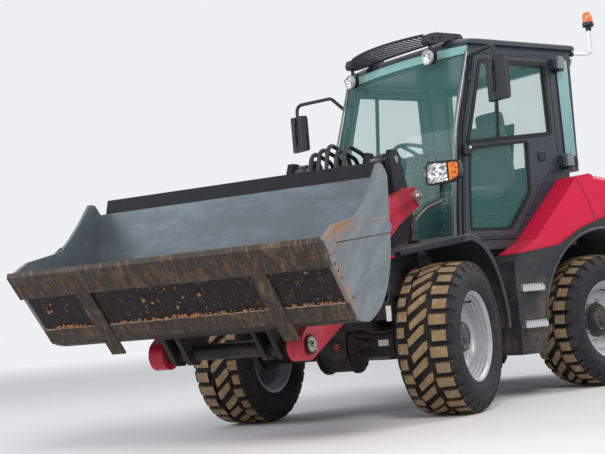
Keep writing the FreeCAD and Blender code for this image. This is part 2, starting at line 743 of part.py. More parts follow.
def bowed_band(gap, thick, half, foot, top):
    """A band bowed forward in plan, which follows the cab's front edge between two heights."""
    bow = float(S.glass_bow)
    half = float(half)
    line = [(float(ahead), float(high)) for ahead, high in front_line()]
    bands = []
    for (low_x, low_z), (high_x, high_z) in zip(line, line[1:]):
        start_z = max(low_z, foot)
        end_z = min(high_z, top)
        if end_z <= start_z:
            continue
        slope = (high_x - low_x) / (high_z - low_z)
        start = low_x + slope * (start_z - low_z) + gap
        near = Part.Arc(Vector(start, -half, start_z), Vector(start + bow, 0, start_z),
                        Vector(start, half, start_z)).toShape()
        far = near.translated(Vector(thick, 0, 0))
        sides = [Part.LineSegment(Vector(start, side, start_z), Vector(start + thick, side, start_z))
                 .toShape() for side in (-half, half)]
        face = Part.Face(Part.Wire(Part.__sortEdges__([near, sides[0], far, sides[1]])))
        bands.append(face.extrude(Vector(slope * (end_z - start_z), 0, end_z - start_z)))
    return bands[0].multiFuse(bands[1:]) if len(bands) > 1 else bands[0]


def make_cab_glass():
    """Bowed windscreen with its sill and header, and the rear window."""
    half = S.cab_half_width - 8
    gap = float(S.running_gap)
    foot = 1085
    head = 2335
    screen = held("windscreen", bowed_band(gap, float(S.glass_thick), half, foot, head))
    inset = 70 + S.running_gap
    rear = block("rear_window", (-S.cab_rear + 24, -S.cab_half_width + inset, 1620 + S.running_gap),
                 (-S.cab_rear + 24 + S.glass_thick, S.cab_half_width - inset, 2300 - S.running_gap))
    finish(group("cab_glass", [screen, rear]), "rear")
    sill = held("screen_sill", bowed_band(gap, 14, half, 1005, foot - gap))
    header = held("screen_header", bowed_band(gap, 14, half, head + gap, 2395))
    finish(group("screen_frame", [sill, header]), "rear")


def make_doors():
    """Framed glass doors, hinged at the rear pillar: upper and lower panes in a moulded frame."""
    half = S.cab_half_width
    for name, side in (("left", 1), ("right", -1)):
        low = half - S.door_thick + 10 if side > 0 else -half - 10
        high = low + S.door_thick
        door = new_body(f"door_panel_{name}")
        add(door, "XZ", low, high, door_outline(0))
        upper = ((-60, 1720), (-880, 1790), (-872, 2290), (-245, 2290), (-100, 1824))
        lower = ((-20, 1130), (-400, 1130), (-620, 1375), (-640, 1740), (-75, 1690), (-28, 1279))
        cut(door, "XZ", low - 1, high + 1, upper)
        cut(door, "XZ", low - 1, high + 1, lower)
        knuckles = []
        axis_out = side * S.door_hinge_out
        for level in HINGE_LEVELS:
            barrel = bar(f"door_barrel_{name}_{level}", 15, level - 39, level + 39,
                         -S.door_hinge_back, axis_out, "Z")
            skin = high - 6 if side > 0 else low + 6
            near, far = (skin, axis_out) if side > 0 else (axis_out, skin)
            strap = block(f"door_strap_{name}_{level}", (-S.door_hinge_back - 6, near, level - 30),
                          (-925, far, level + 30))
            hole = bar(f"door_pin_hole_{name}_{level}", 8 + S.running_gap, level - 40, level + 40,
                       -S.door_hinge_back, axis_out, "Z")
            knuckles.append(less(f"door_hinge_{name}_{level}",
                                 joined(f"door_leaf_{name}_{level}", [barrel, strap]), [hole]))
        finish(joined(f"door_{name}", [door] + knuckles), "rear")
        middle = (low + high) / 2
        panes = []
        for level, outline in (("upper", upper), ("lower", lower)):
            pane = new_body(f"pane_{level}_{name}")
            add(pane, "XZ", middle - 3, middle + 3, outline)
            panes.append(pane)
        finish(group(f"door_glass_{name}", panes), "rear")


def make_roof():
    """The roof with rounded upper edges, and the visor on it."""
    body = new_body("roof")
    add(body, "XZ", -S.cab_half_width - 30, S.cab_half_width + 30, (
        (-S.cab_rear - 40, S.cab_roof), (-175, S.cab_roof), (-150, S.cab_roof + 20),
        (-200, S.cab_roof + S.roof_thick), (-S.cab_rear + 20, S.cab_roof + S.roof_thick)))
    finish(body, "rear")
    soften(body, 18, lambda edge: edge.BoundBox.ZLength < 0.01 and edge.BoundBox.YLength > 100
           and edge.CenterOfMass.z > float(S.cab_roof) + 30)
    make_visor()


def make_visor():
    """The visor: a raised hood on the roof, two cheeks, and bowed rails with slats between them."""
    top = S.cab_roof + S.roof_thick
    half = S.visor_half
    cover = new_body("visor_cover")
    add(cover, "XZ", -half, half, ((-550, top), (-430, top + 50), (-225, top + 46), (-198, top)))
    parts = [cover]
    for side in (-1, 1):
        near, far = (side * half, side * (half - S.visor_cheek))
        if side > 0:
            near, far = far, near
        cheek = new_body(f"visor_cheek_{'left' if side > 0 else 'right'}")
        add(cheek, "XZ", near, far, ((-330, top), (-300, top + 48), (-20, top + 42), (15, top - 10),
                                     (15, top - 30), (-80, top - 30), (-198, top)))
        parts.append(cheek)
    reach = float(half - S.visor_cheek) + 4
    bow = float(S.visor_bow)
    high = float(top)
    for name, back, lift, thick in (("front", -14, 4, 22), ("middle", -120, 30, 14)):
        near = Part.Arc(Vector(back, -reach, high + lift), Vector(back + bow, 0, high + lift),
                        Vector(back, reach, high + lift)).toShape()
        far = near.translated(Vector(thick, 0, 0))
        sides = [Part.LineSegment(Vector(back, side, high + lift), Vector(back + thick, side, high + lift))
                 .toShape() for side in (-reach, reach)]
        face = Part.Face(Part.Wire(Part.__sortEdges__([near, sides[0], far, sides[1]])))
        parts.append(held(f"visor_rail_{name}", face.extrude(Vector(0, 0, 14))))
    count = int(float(S.visor_slats))
    for index in range(count):
        middle = -reach + 2 * reach * (index + 0.5) / count
        bowed = bow * (1 - (middle / reach) ** 2)
        slat = new_body(f"visor_slat_{index}")
        add(slat, "XZ", middle - 4, middle + 4, (
            (-240, high + 38), (bowed - 4, high + 8), (bowed - 4, high + 16), (-240, high + 46)))
        parts.append(slat)
    finish(joined("sun_visor", parts), "rear")


def make_cab_inside():
    seat = new_body("operator_seat")
    add(seat, "XZ", -240, 240, ((-430, 1400), (-430, 1470), (-830, 1440), (-930, 2010), (-1010, 2000),
                                (-930, 1370)))
    add(seat, "XY", S.cab_floor + S.cab_wall, 1400, ((-500, -170), (-860, -170), (-860, 170),
                                                     (-500, 170)))
    finish(seat, "rear")
    column = held("column_stem", tube(((-60, 0, 1060), (-90, 0, 1400), (-216.2, 0, 1692.7)), 35, 150))
    foot = block("column_foot", (-130, -90, S.cab_floor + S.cab_wall), (10, 90, S.cab_floor + 110))
    finish(joined("steering_column", [column, foot]), "rear")
    hub = Placement(Vector(-232, 0, 1728), Rotation(Vector(0, 1, 0), -24))
    ring = Part.makeTorus(190, 14)
    spokes = Part.makeBox(370, 34, 12, Vector(-185, -17, -6)).fuse(
        Part.makeBox(34, 370, 12, Vector(-17, -185, -6))).fuse(
        Part.makeCylinder(46, 40, Vector(0, 0, -38)))
    wheel = ring.fuse(spokes)
    wheel.Placement = hub
    finish(held("steering_wheel", wheel), "rear")
    rest = new_body("armrest")
    add(rest, "XZ", -420, -280, ((-330, 1050), (-330, 1560), (-420, 1640), (-760, 1640), (-800, 1580),
                                 (-800, 1050)))
    finish(rest, "rear")


def make_mirrors():
    """Mirror heads with two lobes on their backs, on bent arms from the front pillars."""
    side = S.cab_half_width
    head = new_body("mirror_head")
    add(head, "XY", 1930, 2200, (
        (0, side + 345), (0, side + 505), (26, side + 510), (50, side + 492), (60, side + 464),
        (56, side + 436), (44, side + 425), (56, side + 414), (60, side + 386), (50, side + 358),
        (26, side + 340)))
    arm = held("mirror_arm", tube(((-124, side + 16, 2180), (-60, side + 100, 2290),
                                   (30, side + 425, 2290), (30, side + 425, 2190)), 13, 50))
    foot = block("mirror_foot", (-138, side + S.running_gap, 2150), (-112, side + 24, 2205))
    finish(both_sides("mirrors", joined("mirror_left", [head, arm, foot])), "rear")


def make_work_lamps():
    lamps = []
    under_visor = S.cab_roof + S.roof_thick - 30
    # place, back face, side, back of the foot from the back face, what the foot hangs from
    for name, low, side, foot_back, ceiling in (
            ("front", measure(-55), S.visor_half - 30, 20, under_visor),
            ("rear", -S.cab_rear - 92, S.cab_half_width - 100, 46, S.cab_roof)):
        lamp = bar(f"work_lamp_{name}", S.lamp_radius, low, low + 70, side, 2345, "X")
        foot = block(f"work_lamp_foot_{name}", (low + foot_back, side - 12, 2385),
                     (low + foot_back + 24, side + 12, ceiling - S.running_gap))
        lamps.append(joined(f"work_lamp_whole_{name}", [lamp, foot]))
    finish(both_sides("work_lamps", *lamps), "rear")
    side = S.cab_half_width
    post = held("beacon_post", tube(((-1176, side - 20, 2385), (-1390, side + 10, 2385),
                                     (-1390, side + 10, 2600)), 13, 40))
    foot = block("beacon_foot", (-S.cab_rear - 40, side - 38, 2372),
                 (-S.cab_rear - 16, side - 2, S.cab_roof - S.running_gap))
    base = bar("beacon_base", 42, 2590, 2620, -1390, side + 10, "Z")
    dome = bar("beacon_dome", 38, 2620, 2700, -1390, side + 10, "Z")
    finish(joined("beacon", [post, foot, base, dome]), "rear")


# Front frame

def make_front_chassis():
    """Box frame with the fork of the centre joint, side plates and the tower for the boom."""
    inner = S.tower_inner
    wall = S.tower_wall
    outer = inner + wall
    pivot_x = S.boom_pivot_ahead
    pivot_z = S.boom_pivot_high
    ear_x = pivot_x + S.tilt_pin_ahead
    ear_z = pivot_z + S.tilt_pin_above
    rear = 190
    base = S.tyre_radius + S.axle_radius + 6
    plate = new_body("tower_plate")
    add(plate, "XZ", inner, outer, (
        (rear, S.chassis_low), (rear, S.chassis_high), (pivot_x - 210, 860),
        (pivot_x - 130, pivot_z), (ear_x - 75, ear_z + 30), (ear_x - 40, ear_z + 62),
        (ear_x + 40, ear_z + 62), (ear_x + 75, ear_z), (pivot_x + 120, pivot_z - 60),
        (pivot_x + 330, 740), (1450, 670), (1450, base), (760, base),
        (700, S.chassis_low)))
    cut(plate, "XZ", inner - 1, outer + 1, circles=(
        (pivot_x, pivot_z, S.pin_radius + S.running_gap),))
    cut(plate, "XZ", inner - 1, outer + 1, circles=(
        (ear_x, ear_z, S.pin_radius - 6 + S.running_gap),))
    ear = new_body("inner_ear")
    add(ear, "XZ", S.ear_inner, S.ear_inner + S.ear_wall, (
        (pivot_x - 130, pivot_z - 120), (ear_x - 75, ear_z + 30), (ear_x - 40, ear_z + 62),
        (ear_x + 40, ear_z + 62), (ear_x + 75, ear_z), (pivot_x + 60, pivot_z - 120)))
    cut(ear, "XZ", S.ear_inner - 1, S.ear_inner + S.ear_wall + 1, circles=(
        (ear_x, ear_z, S.pin_radius - 6 + S.running_gap),))
    parts = [plate, mirrored(plate), ear, mirrored(ear)]
    parts.append(block("tower_wall", (pivot_x - 125, -inner, pivot_z - 200),
                       (pivot_x - 103, inner, pivot_z + 30)))
    parts.append(block("tower_shelf", (pivot_x - 110, -S.ear_inner - 5, pivot_z - 140),
                       (pivot_x + 50, S.ear_inner + 5, pivot_z - 110)))
    parts.append(block("front_bulkhead", (rear, -outer, S.chassis_low),
                       (rear + 30, outer, S.chassis_high)))
    parts.append(block("front_beam", (1410, -outer, base), (1450, outer, 670)))
    parts.append(block("valve_block", (960, -S.ear_inner + 30, 640), (1040, S.ear_inner - 30, 760)))
    parts.append(block("valve_shelf", (960, -inner, 625), (1040, inner, 645)))
    lift_lug = new_body("lift_lug")
    add(lift_lug, "XZ", S.lift_side - S.eye_width / 2 - S.swing_gap - 25,
        S.lift_side - S.eye_width / 2 - S.swing_gap, (
        (rear, lift_base.z - 60), (rear, lift_base.z + 60), (lift_base.x - 30, lift_base.z + 38),
        (lift_base.x + 20, lift_base.z + 32), (lift_base.x + 38, lift_base.z),
        (lift_base.x + 20, lift_base.z - 32), (lift_base.x - 30, lift_base.z - 38)))
    parts += [lift_lug, mirrored(lift_lug)]
    pin = bar("lift_base_pin", S.pin_radius - 4, S.lift_side - S.eye_width / 2 - S.swing_gap,
              inner, lift_base.x, lift_base.z)
    parts += [pin, mirrored(pin)]
    for name, level in (("lower", S.knuckle_low), ("upper", S.knuckle_high)):
        for part, low in (("under", measure(level) - S.swing_gap - S.fork_thick),
                          ("over", measure(level) + S.knuckle_thick + S.swing_gap)):
            fork = new_body(f"fork_{name}_{part}")
            high = low + S.fork_thick
            add(fork, "XY", low, high, ((0, -S.knuckle_radius), (rear, -160), (rear, 160),
                                        (0, S.knuckle_radius)))
            add(fork, "XY", low, high, circles=((0, 0, S.knuckle_radius),))
            parts.append(fork)
        parts.append(bar(f"pivot_pin_{name}", S.pivot_pin_radius, measure(level) - S.swing_gap,
                         measure(level) + S.knuckle_thick + S.swing_gap, 0, 0, "Z"))
    saddle = block("axle_saddle", (S.front_axle_ahead - 70, inner - 100, base - 6 + S.running_gap),
                   (S.front_axle_ahead + 70, outer, base + 40))
    parts += [saddle, mirrored(saddle)]
    finish(joined("front_chassis", parts), "front")


def make_boom_pins():
    """Pivot pins of the boom, fixed in the tower, with their end caps outside the arms."""
    spot = (S.boom_pivot_ahead, S.boom_pivot_high)
    pin = bar("boom_pin_shank", S.pin_radius, S.tower_inner - 10, S.arm_inner + S.arm_wall + 2, *spot)
    outside = S.arm_inner + S.arm_wall + 1
    cap = bar("boom_pin_cap", S.pin_cap_radius, outside, outside + 14, *spot)
    finish(both_sides("boom_pins", joined("boom_pin", [pin, cap])), "front")


def make_front_fenders():
    """Arched mudguards: a curved sheet over the tyre, with a turned-down outer lip."""
    axle = float(S.front_axle_ahead)
    centre = Vector(axle, 0, float(S.tyre_radius))
    wall = float(S.fender_wall)
    inner = float(S.fender_inner)
    outer = float(S.fender_outer)

    def arched(radius, low, high):
        start = centre + side_point(radius, 178)
        middle = centre + side_point(radius, 134)
        crest = centre + side_point(radius, 90)
        nose = crest + Vector(360, 0, -70)
        upper = [Part.Arc(start, middle, crest).toShape(), Part.LineSegment(crest, nose).toShape()]
        small = radius - (wall if low < outer - 60 else float(S.fender_lip))
        start_low = centre + side_point(small, 178)
        middle_low = centre + side_point(small, 134)
        crest_low = centre + side_point(small, 90)
        nose_low = crest_low + Vector(360, 0, -70)
        lower = [Part.Arc(start_low, middle_low, crest_low).toShape(),
                 Part.LineSegment(crest_low, nose_low).toShape()]
        ends = [Part.LineSegment(start, start_low).toShape(), Part.LineSegment(nose, nose_low).toShape()]
        face = Part.Face(Part.Wire(Part.__sortEdges__(upper + lower + ends)))
        face.translate(Vector(0, low, 0))
        return face.extrude(Vector(0, high - low, 0))

    radius = float(S.fender_radius)
    sheet_shape = arched(radius, inner, outer)
    lip = arched(radius, outer - 12, outer)
    guard = sheet_shape.fuse(lip)
    corner = Part.Face(Part.makePolygon([
        Vector(axle + 60, outer + 1, 900), Vector(axle + 400, outer + 1, 900),
        Vector(axle + 400, inner + 60, 900), Vector(axle + 330, inner + 60, 900),
        Vector(axle + 60, outer + 1, 900)])).extrude(Vector(0, 0, 300))
    guard = guard.cut(corner)
    inner_panel = Part.Face(Part.makePolygon([
        Vector(axle - 120, inner - 18, 900), Vector(axle + 350, inner - 18, 700),
        Vector(axle + 350, inner - 18, 985), Vector(axle, inner - 18, 1060),
        Vector(axle - 120, inner - 18, 1045), Vector(axle - 120, inner - 18, 900)])).extrude(
            Vector(0, 9, 0))
    rim_strip = arched(radius, inner - 18, inner)
    guard = guard.fuse(rim_strip)
    stay = Part.makeBox(60, inner - 12 - float(S.tower_outer), 112,
                        Vector(axle + 285, float(S.tower_outer), 600))
    guard = guard.fuse(inner_panel).fuse(stay)
    finish(both_sides("front_fenders", held("front_fender", guard.removeSplitter())), "front")


def make_headlamps():
    """Rounded headlamp cases with a stepped back shell, on curved arms from the mudguards."""
    middle = S.fender_outer - 230
    case = new_body("headlamp_case")
    add(case, "YZ", 740, 800, ((middle - 115, 1410), (middle + 115, 1410), (middle + 120, 1550),
                               (middle - 110, 1560)))
    soften(case, 38, along("X"))
    add(case, "YZ", 700, 742, ((middle - 80, 1425), (middle + 80, 1425), (middle + 80, 1530),
                               (middle - 80, 1535)))
    arm = held("headlamp_arm", tube(((1150, middle - 90, 1051.3), (1150, middle - 88, 1140),
                                     (960, middle - 65, 1260), (745, middle - 50, 1300),
                                     (722, middle - 40, 1427)), S.tube_radius, 45))
    finish(both_sides("headlamps", joined("headlamp_left", [case, arm])), "front")


def make_tower_hoses():
    routes = []
    for index in range(5):
        side = (S.ear_inner - 60) * ((index - 2) / 2)
        lift = 20 * (index % 3)
        routes.append(held(f"tower_hose_{index}", tube((
            (760, side, 1240.3), (760, side, 1640 + lift), (1060, side, 1700 + lift),
            (1215, side, 1250), (1000, side, 960), (1000, side, 760.3)), S.hose_radius, 90)))
    finish(group("tower_hoses", routes), "front")


# Boom and linkage

def make_boom():
    """Two humped arms with bosses at both ends, cross tubes and the lugs of the lift rods."""
    length = S.boom_length
    crown = S.arm_crown
    inner = S.arm_inner
    outer = inner + S.arm_wall
    arm = new_body("boom_arm")
    add(arm, "XZ", inner, outer, (
        (0, S.arm_boss), (length * 0.2, crown * 0.82), (length * 0.5, crown),
        (length * 0.62, crown * 0.94), (length, S.hitch_boss), (length, -S.hitch_boss),
        (length * 0.74, -120), (length * 0.56, -30), (length * 0.2, -22), (0, -S.arm_boss)))
    soften(arm, 200, along("Y", (length * 0.2, crown * 0.82), (length * 0.5, crown),
                           (length * 0.62, crown * 0.94), (length * 0.74, -120),
                           (length * 0.56, -30), reach=5.0))
    add(arm, "XZ", inner, outer, circles=((0, 0, S.arm_boss),))
    add(arm, "XZ", inner, outer, circles=((length, 0, S.hitch_boss),))
    for along_arm in (0, length):
        cut(arm, "XZ", inner - 1, outer + 1,
            circles=((along_arm, 0, S.pin_radius + S.running_gap),))
    parts = [arm, mirrored(arm)]
    eye = side_point(float(S.lift_reach), -float(S.lift_drop))
    for name, along_arm, above in (("mid", S.lift_reach - 60, 40), ("low", length * 0.74, -50)):
        parts.append(bar(f"cross_tube_{name}", S.cross_tube_radius, -inner, inner, along_arm, above))
    for name, low in (("inner", S.lift_side - S.eye_width / 2 - S.swing_gap - 25),
                      ("outer", S.lift_side + S.eye_width / 2 + S.swing_gap)):
        high = low + 25 if name == "inner" else inner + 1
        lug = new_body(f"lift_rod_lug_{name}")
        add(lug, "XZ", low, high, ((eye.x - 110, 50), (eye.x + 30, 50), (eye.x + 55, eye.z),
                                   (eye.x + 30, eye.z - 48), (eye.x - 30, eye.z - 48),
                                   (eye.x - 60, eye.z)))
        parts += [lug, mirrored(lug)]
    finish(joined("boom", parts), "boom")


def make_cylinder(kind, span, side, barrel_radius, barrel_length, rod_radius, rod_back, base_radius):
    """A pair of cylinders laid along X from the base pin: barrels with eyes, and their rods."""
    half_eye = S.eye_width / 2
    barrel = bar(f"{kind}_barrel_tube", barrel_radius, 40, barrel_length, side, 0, "X")
    gland = bar(f"{kind}_gland", barrel_radius + 7, barrel_length - 60, barrel_length, side, 0, "X")
    base_eye = bar(f"{kind}_base_eye", S.eye_radius, side - half_eye, side + half_eye)
    bore = bar(f"{kind}_bore", rod_radius + S.running_gap, 62, barrel_length + 1, side, 0, "X")
    pin_hole = bar(f"{kind}_pin_hole", base_radius + S.running_gap, side - half_eye - 1,
                   side + half_eye + 1)
    whole = less(f"{kind}_barrel", joined(f"{kind}_barrel_whole", [barrel, gland, base_eye]),
                 [bore, pin_hole])
    finish(both_sides(f"{kind}_barrels", whole), kind)
    rod = bar(f"{kind}_rod_bar", rod_radius, rod_back, span, side, 0, "X")
    eye = bar(f"{kind}_rod_eye", S.eye_radius - 6, side - half_eye, side + half_eye, span, 0)
    finish(both_sides(f"{kind}_rods", joined(f"{kind}_rod", [rod, eye])), kind)


def make_tilt_pins():
    pin = bar("tilt_pin", S.pin_radius - 6, S.ear_inner - 8, S.tower_inner + S.tower_wall + 8)
    finish(both_sides("tilt_pins", pin), "tilt")


def make_hitch_shaft():
    """The shaft through the boom's lower bosses that the bucket's hitch turns on."""
    outer = S.arm_inner + S.arm_wall + 10
    tube_end = S.arm_inner - 4
    shaft = bar("hitch_shaft_bar", S.pin_radius, -outer, outer)
    tube_body = bar("hitch_shaft_tube", S.hitch_tube_radius, -tube_end, tube_end)
    caps = [bar(f"hitch_cap_{name}", S.pin_cap_radius, low, low + 12)
            for name, low in (("left", outer - 7), ("right", -outer - 5))]
    finish(joined("hitch_shaft", [shaft, tube_body] + caps), "hitch")


# Bucket, laid out with its floor level and its heel at the origin

# Back of the bucket in side view, as shares of its depth and height: along, up
BACK = ((-0.10, 0.036), (-0.33, 0.138), (-0.40, 0.371), (-0.237, 0.618), (0.083, 0.811), (0.433, 1.0))


def bucket_back(inset):
    depth = S.bucket_depth
    high = S.bucket_height
    shifts = ((0.5, 1.0), (1.0, 0.6), (1.05, 0.0), (0.9, -0.5), (0.75, -0.7), (0.75, -0.7))
    return [(depth * share_x + inset * dx, high * share_z + inset * dz)
            for (share_x, share_z), (dx, dz) in zip(BACK, shifts)]


def make_bucket():
    """Side plates with hollowed front edges, floor and rolled back in one shell, and a lip."""
    half = S.bucket_width / 2
    depth = S.bucket_depth
    high = S.bucket_height
    plate = S.bucket_plate
    body = new_body("bucket_shell")
    front_edge = ((depth, 0), (depth - 33, 152), (depth - 154, 375), (depth - 173, 562),
                  (depth - 148, high - 36))
    add(body, "XZ", -half, half, [(0, 0)] + list(front_edge) + list(reversed(bucket_back(0))))
    cut(body, "XZ", -half + S.bucket_side, half - S.bucket_side,
        [(plate * 0.4, plate), (depth + 20, plate), (depth + 20, high + 60), (depth * 0.433 + 30, high + 60)]
        + list(reversed(bucket_back(plate))))
    parts = [body]
    for name, low, high in (("left", half - 1, half + S.band_thick), ("right", -half - S.band_thick, 1 - half)):
        band = new_body(f"side_band_{name}")
        add(band, "XZ", low, high, ((352, 105), (406, 112), (depth - 154, 375), (depth - 164, 440),
                                    (61, 655), (5, 665), (-20, 643)))
        corner = new_body(f"corner_plate_{name}")
        add(corner, "XZ", low, high, ((354, 4), (depth - 1, 4), (depth - 26, 118), (402, 108), (322, 92)))
        parts += [band, corner]
    finish(joined("bucket_whole", parts), "bucket", "bucket")
    edge = new_body("cutting_edge")
    start = depth + 22 - S.edge_depth
    add(edge, "XZ", -half, half, ((start, -S.edge_thick), (start, 0), (depth + 22, 0),
                                  (depth + 6, -S.edge_thick)))
    pitch = (S.bucket_width - 140) / (S.edge_holes - 1)
    holes = [(start + 62, -half + 70 + pitch * index, S.edge_hole_radius)
             for index in range(int(float(S.edge_holes)))]
    cut(edge, "XY", -S.edge_thick - 1, 1, circles=holes)
    finish(edge, "bucket")
    side = S.strap_side
    strap = new_body("wear_strap")
    thick = S.strap_thick
    corner_x, corner_z = bucket_back(0)[1]
    foot_x, foot_z = bucket_back(0)[0]
    add(strap, "XZ", side - S.strap_width / 2, side + S.strap_width / 2, (
        (start, 0), (0, 0), (foot_x, foot_z), (corner_x, corner_z), (corner_x - 11, corner_z - 11),
        (foot_x - 10, foot_z - thick), (-4, -thick), (start, -thick)))
    heel_plate = block("heel_plate", (40, -half + 10, -thick * 0.75), (175, half - 10, 0))
    finish(joined("wear_straps_whole", [strap, mirrored(strap), heel_plate]), "bucket", "wear_straps")
    guard = new_body("spill_guard")
    top_x, top_z = bucket_back(0)[-1]
    add(guard, "XZ", -half + 60, half - 60, (
        (top_x - 8, top_z + S.running_gap), (top_x + 6, top_z + S.running_gap),
        (top_x + 50, top_z + 70), (top_x + 40, top_z + 74)))
    finish(guard, "bucket")


def make_quick_hitch():
    """Ears on the shaft and at the tilt rods' eyes, joined by the frame on the bucket's back."""
    back = bucket_back(0)
    hitch_x = -S.hitch_back
    hitch_z = S.hitch_up
    arm_x = hitch_x + S.tilt_arm_ahead
    arm_z = hitch_z + S.tilt_arm_up
    gap = S.eye_width / 2 + S.swing_gap
    parts = []
    for name, low in (("inner", S.tilt_side - gap - 28), ("outer", S.tilt_side + gap)):
        ear = new_body(f"hitch_ear_{name}")
        low_x, low_z = back[1]
        mid_x, mid_z = back[2]
        top_x, top_z = back[3]
        add(ear, "XZ", low, low + 28, (
            (hitch_x - 70, hitch_z - 20), (hitch_x - 20, hitch_z - 75), (low_x - 1, low_z),
            (mid_x - 1, mid_z), (top_x - 1, top_z), (top_x - 20, top_z + 60), (arm_x, arm_z + 46),
            (arm_x - 46, arm_z), (hitch_x - 70, hitch_z + 40)))
        cut(ear, "XZ", low - 1, low + 29, circles=(
            (hitch_x, hitch_z, S.hitch_tube_radius + S.running_gap),))
        parts += [ear, mirrored(ear)]
    low_x, low_z = back[1]
    mid_x, mid_z = back[2]
    web = new_body("hitch_web")
    reach = S.tilt_side + gap + 28
    add(web, "XZ", -reach, reach, ((low_x - 1, low_z), (mid_x - 1, mid_z), (mid_x - 21, mid_z),
                                   (low_x - 21, low_z)))
    parts.append(web)
    finish(joined("quick_hitch", parts), "bucket")


make_wheels()
make_axle("front_axle", S.front_axle_ahead, "front")
make_axle("rear_axle", -S.rear_axle_behind, "rear")
make_rear_chassis()
make_rear_fenders()
make_side_panels()
make_engine()
make_counterweight()
make_hood()
make_rear_details()
make_steps()
make_cab_frame()
make_cab_glass()
make_doors()
make_roof()
make_cab_inside()
make_mirrors()
make_work_lamps()
make_front_chassis()
make_boom_pins()
make_front_fenders()
make_headlamps()
make_tower_hoses()
make_boom()
make_cylinder("lift", lift_span, S.lift_side, S.lift_barrel_radius, S.lift_barrel_length,
              S.lift_rod_radius, S.lift_rod_back, S.pin_radius - 4)
make_cylinder("tilt", tilt_span, S.tilt_side, S.tilt_barrel_radius, S.tilt_barrel_length,
              S.tilt_rod_radius, S.tilt_rod_back, S.pin_radius - 6)
make_tilt_pins()
make_hitch_shaft()
make_bucket()
make_quick_hitch()

document.recompute()


def overall_box():
    box = FreeCAD.BoundBox()
    for piece, frame in pieces.values():
        box.add(piece.Shape.BoundBox)
    return box


def place_all(shift):
    for label, (piece, frame) in pieces.items():
        piece.Placement = Placement(shift, Rotation()) * FRAMES[frame] * own_places[label]
    document.recompute()


own_places = {label: piece.Placement for label, (piece, frame) in pieces.items()}
place_all(Vector())
outer_box = overall_box()
origin_shift = Vector(-outer_box.Center.x, -outer_box.Center.y, -outer_box.ZMin)
place_all(origin_shift)

failed = [thing.Label for thing in document.Objects
          if "Invalid" in thing.State or "Error" in thing.State]
for label, (piece, frame) in pieces.items():
    if piece.Shape.isNull() or not piece.Shape.isValid() or not piece.Shape.Solids:
        failed.append(label)
if failed:
    raise RuntimeError("failed pieces: " + ", ".join(failed))

os.makedirs("parts", exist_ok=True)
for label, (piece, frame) in pieces.items():
    piece.Shape.exportStep(f"parts/{label}.step")
print(f"{len(pieces)} pieces, origin moved by {tuple(round(v, 2) for v in origin_shift)}")
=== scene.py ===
import json
import math
import random

import bmesh
import bpy
from mathutils import Matrix, Vector


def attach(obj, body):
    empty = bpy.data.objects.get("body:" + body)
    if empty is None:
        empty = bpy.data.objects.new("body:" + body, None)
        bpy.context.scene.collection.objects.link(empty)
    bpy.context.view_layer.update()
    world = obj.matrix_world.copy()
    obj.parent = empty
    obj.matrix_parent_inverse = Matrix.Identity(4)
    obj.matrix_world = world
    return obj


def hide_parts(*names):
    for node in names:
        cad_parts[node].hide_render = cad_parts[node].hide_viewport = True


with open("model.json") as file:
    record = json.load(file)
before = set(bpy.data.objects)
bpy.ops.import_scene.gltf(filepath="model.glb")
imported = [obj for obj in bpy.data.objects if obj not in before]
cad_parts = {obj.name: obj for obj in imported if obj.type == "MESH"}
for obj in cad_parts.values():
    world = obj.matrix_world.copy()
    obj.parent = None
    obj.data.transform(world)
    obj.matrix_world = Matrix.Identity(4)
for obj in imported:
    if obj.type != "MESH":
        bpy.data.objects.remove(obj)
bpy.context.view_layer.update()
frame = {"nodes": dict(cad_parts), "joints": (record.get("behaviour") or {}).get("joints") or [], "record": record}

# Rest angles of the CAD model, in degrees
STEER = 26.0
BOOM = -27.3
CURL = 50.1

# Places that the CAD model is laid out from, in metres, from the centre joint on the ground
FRONT_AXLE = 1.05
REAR_AXLE = -1.08
HALF_TRACK = 0.7
TYRE_RADIUS = 0.457
BOOM_PIVOT = (0.83, 0.0, 1.35)
BOOM_LENGTH = 1.815
HITCH_LOCAL = (-0.336, 0.0, 0.182)
SIDES = (("left", 1), ("right", -1))


def turned(axis, degrees):
    return Matrix.Rotation(math.radians(degrees), 4, axis)


def moved(x=0.0, y=0.0, z=0.0):
    return Matrix.Translation((x, y, z))


def mirrored(side):
    return Matrix.Diagonal((1, side, 1, 1))


STEER_AXIS = next(Vector(joint["pos_m"]) for joint in frame["joints"] if joint["name"] == "steer")
REAR = moved(STEER_AXIS.x, STEER_AXIS.y)
FRONT = REAR @ turned("Z", STEER)
PIVOT_FRAME = FRONT @ moved(*BOOM_PIVOT)
HITCH_FRAME = PIVOT_FRAME @ turned("Y", -BOOM) @ moved(BOOM_LENGTH) @ turned("Y", BOOM)
BUCKET = HITCH_FRAME @ turned("Y", -CURL) @ Matrix.Translation(-Vector(HITCH_LOCAL))


# Materials

MATERIALS = {}
SOCKETS = {"metal": "Metallic", "specular": "Specular IOR Level", "coat": "Coat Weight",
           "coat_rough": "Coat Roughness", "alpha": "Alpha", "sheen": "Sheen Weight"}
DUST = (0.36, 0.27, 0.18)
MUD = (0.3, 0.19, 0.11)
RUST = (0.34, 0.12, 0.035)


def add_node(tree, kind, inputs=(), **props):
    """A node with its properties, and its inputs linked or set."""
    made = tree.nodes.new(kind)
    for key, value in props.items():
        setattr(made, key, value)
    for key, value in dict(inputs).items():
        if isinstance(value, bpy.types.NodeSocket):
            tree.links.new(value, made.inputs[key])
        else:
            made.inputs[key].default_value = value
    return made


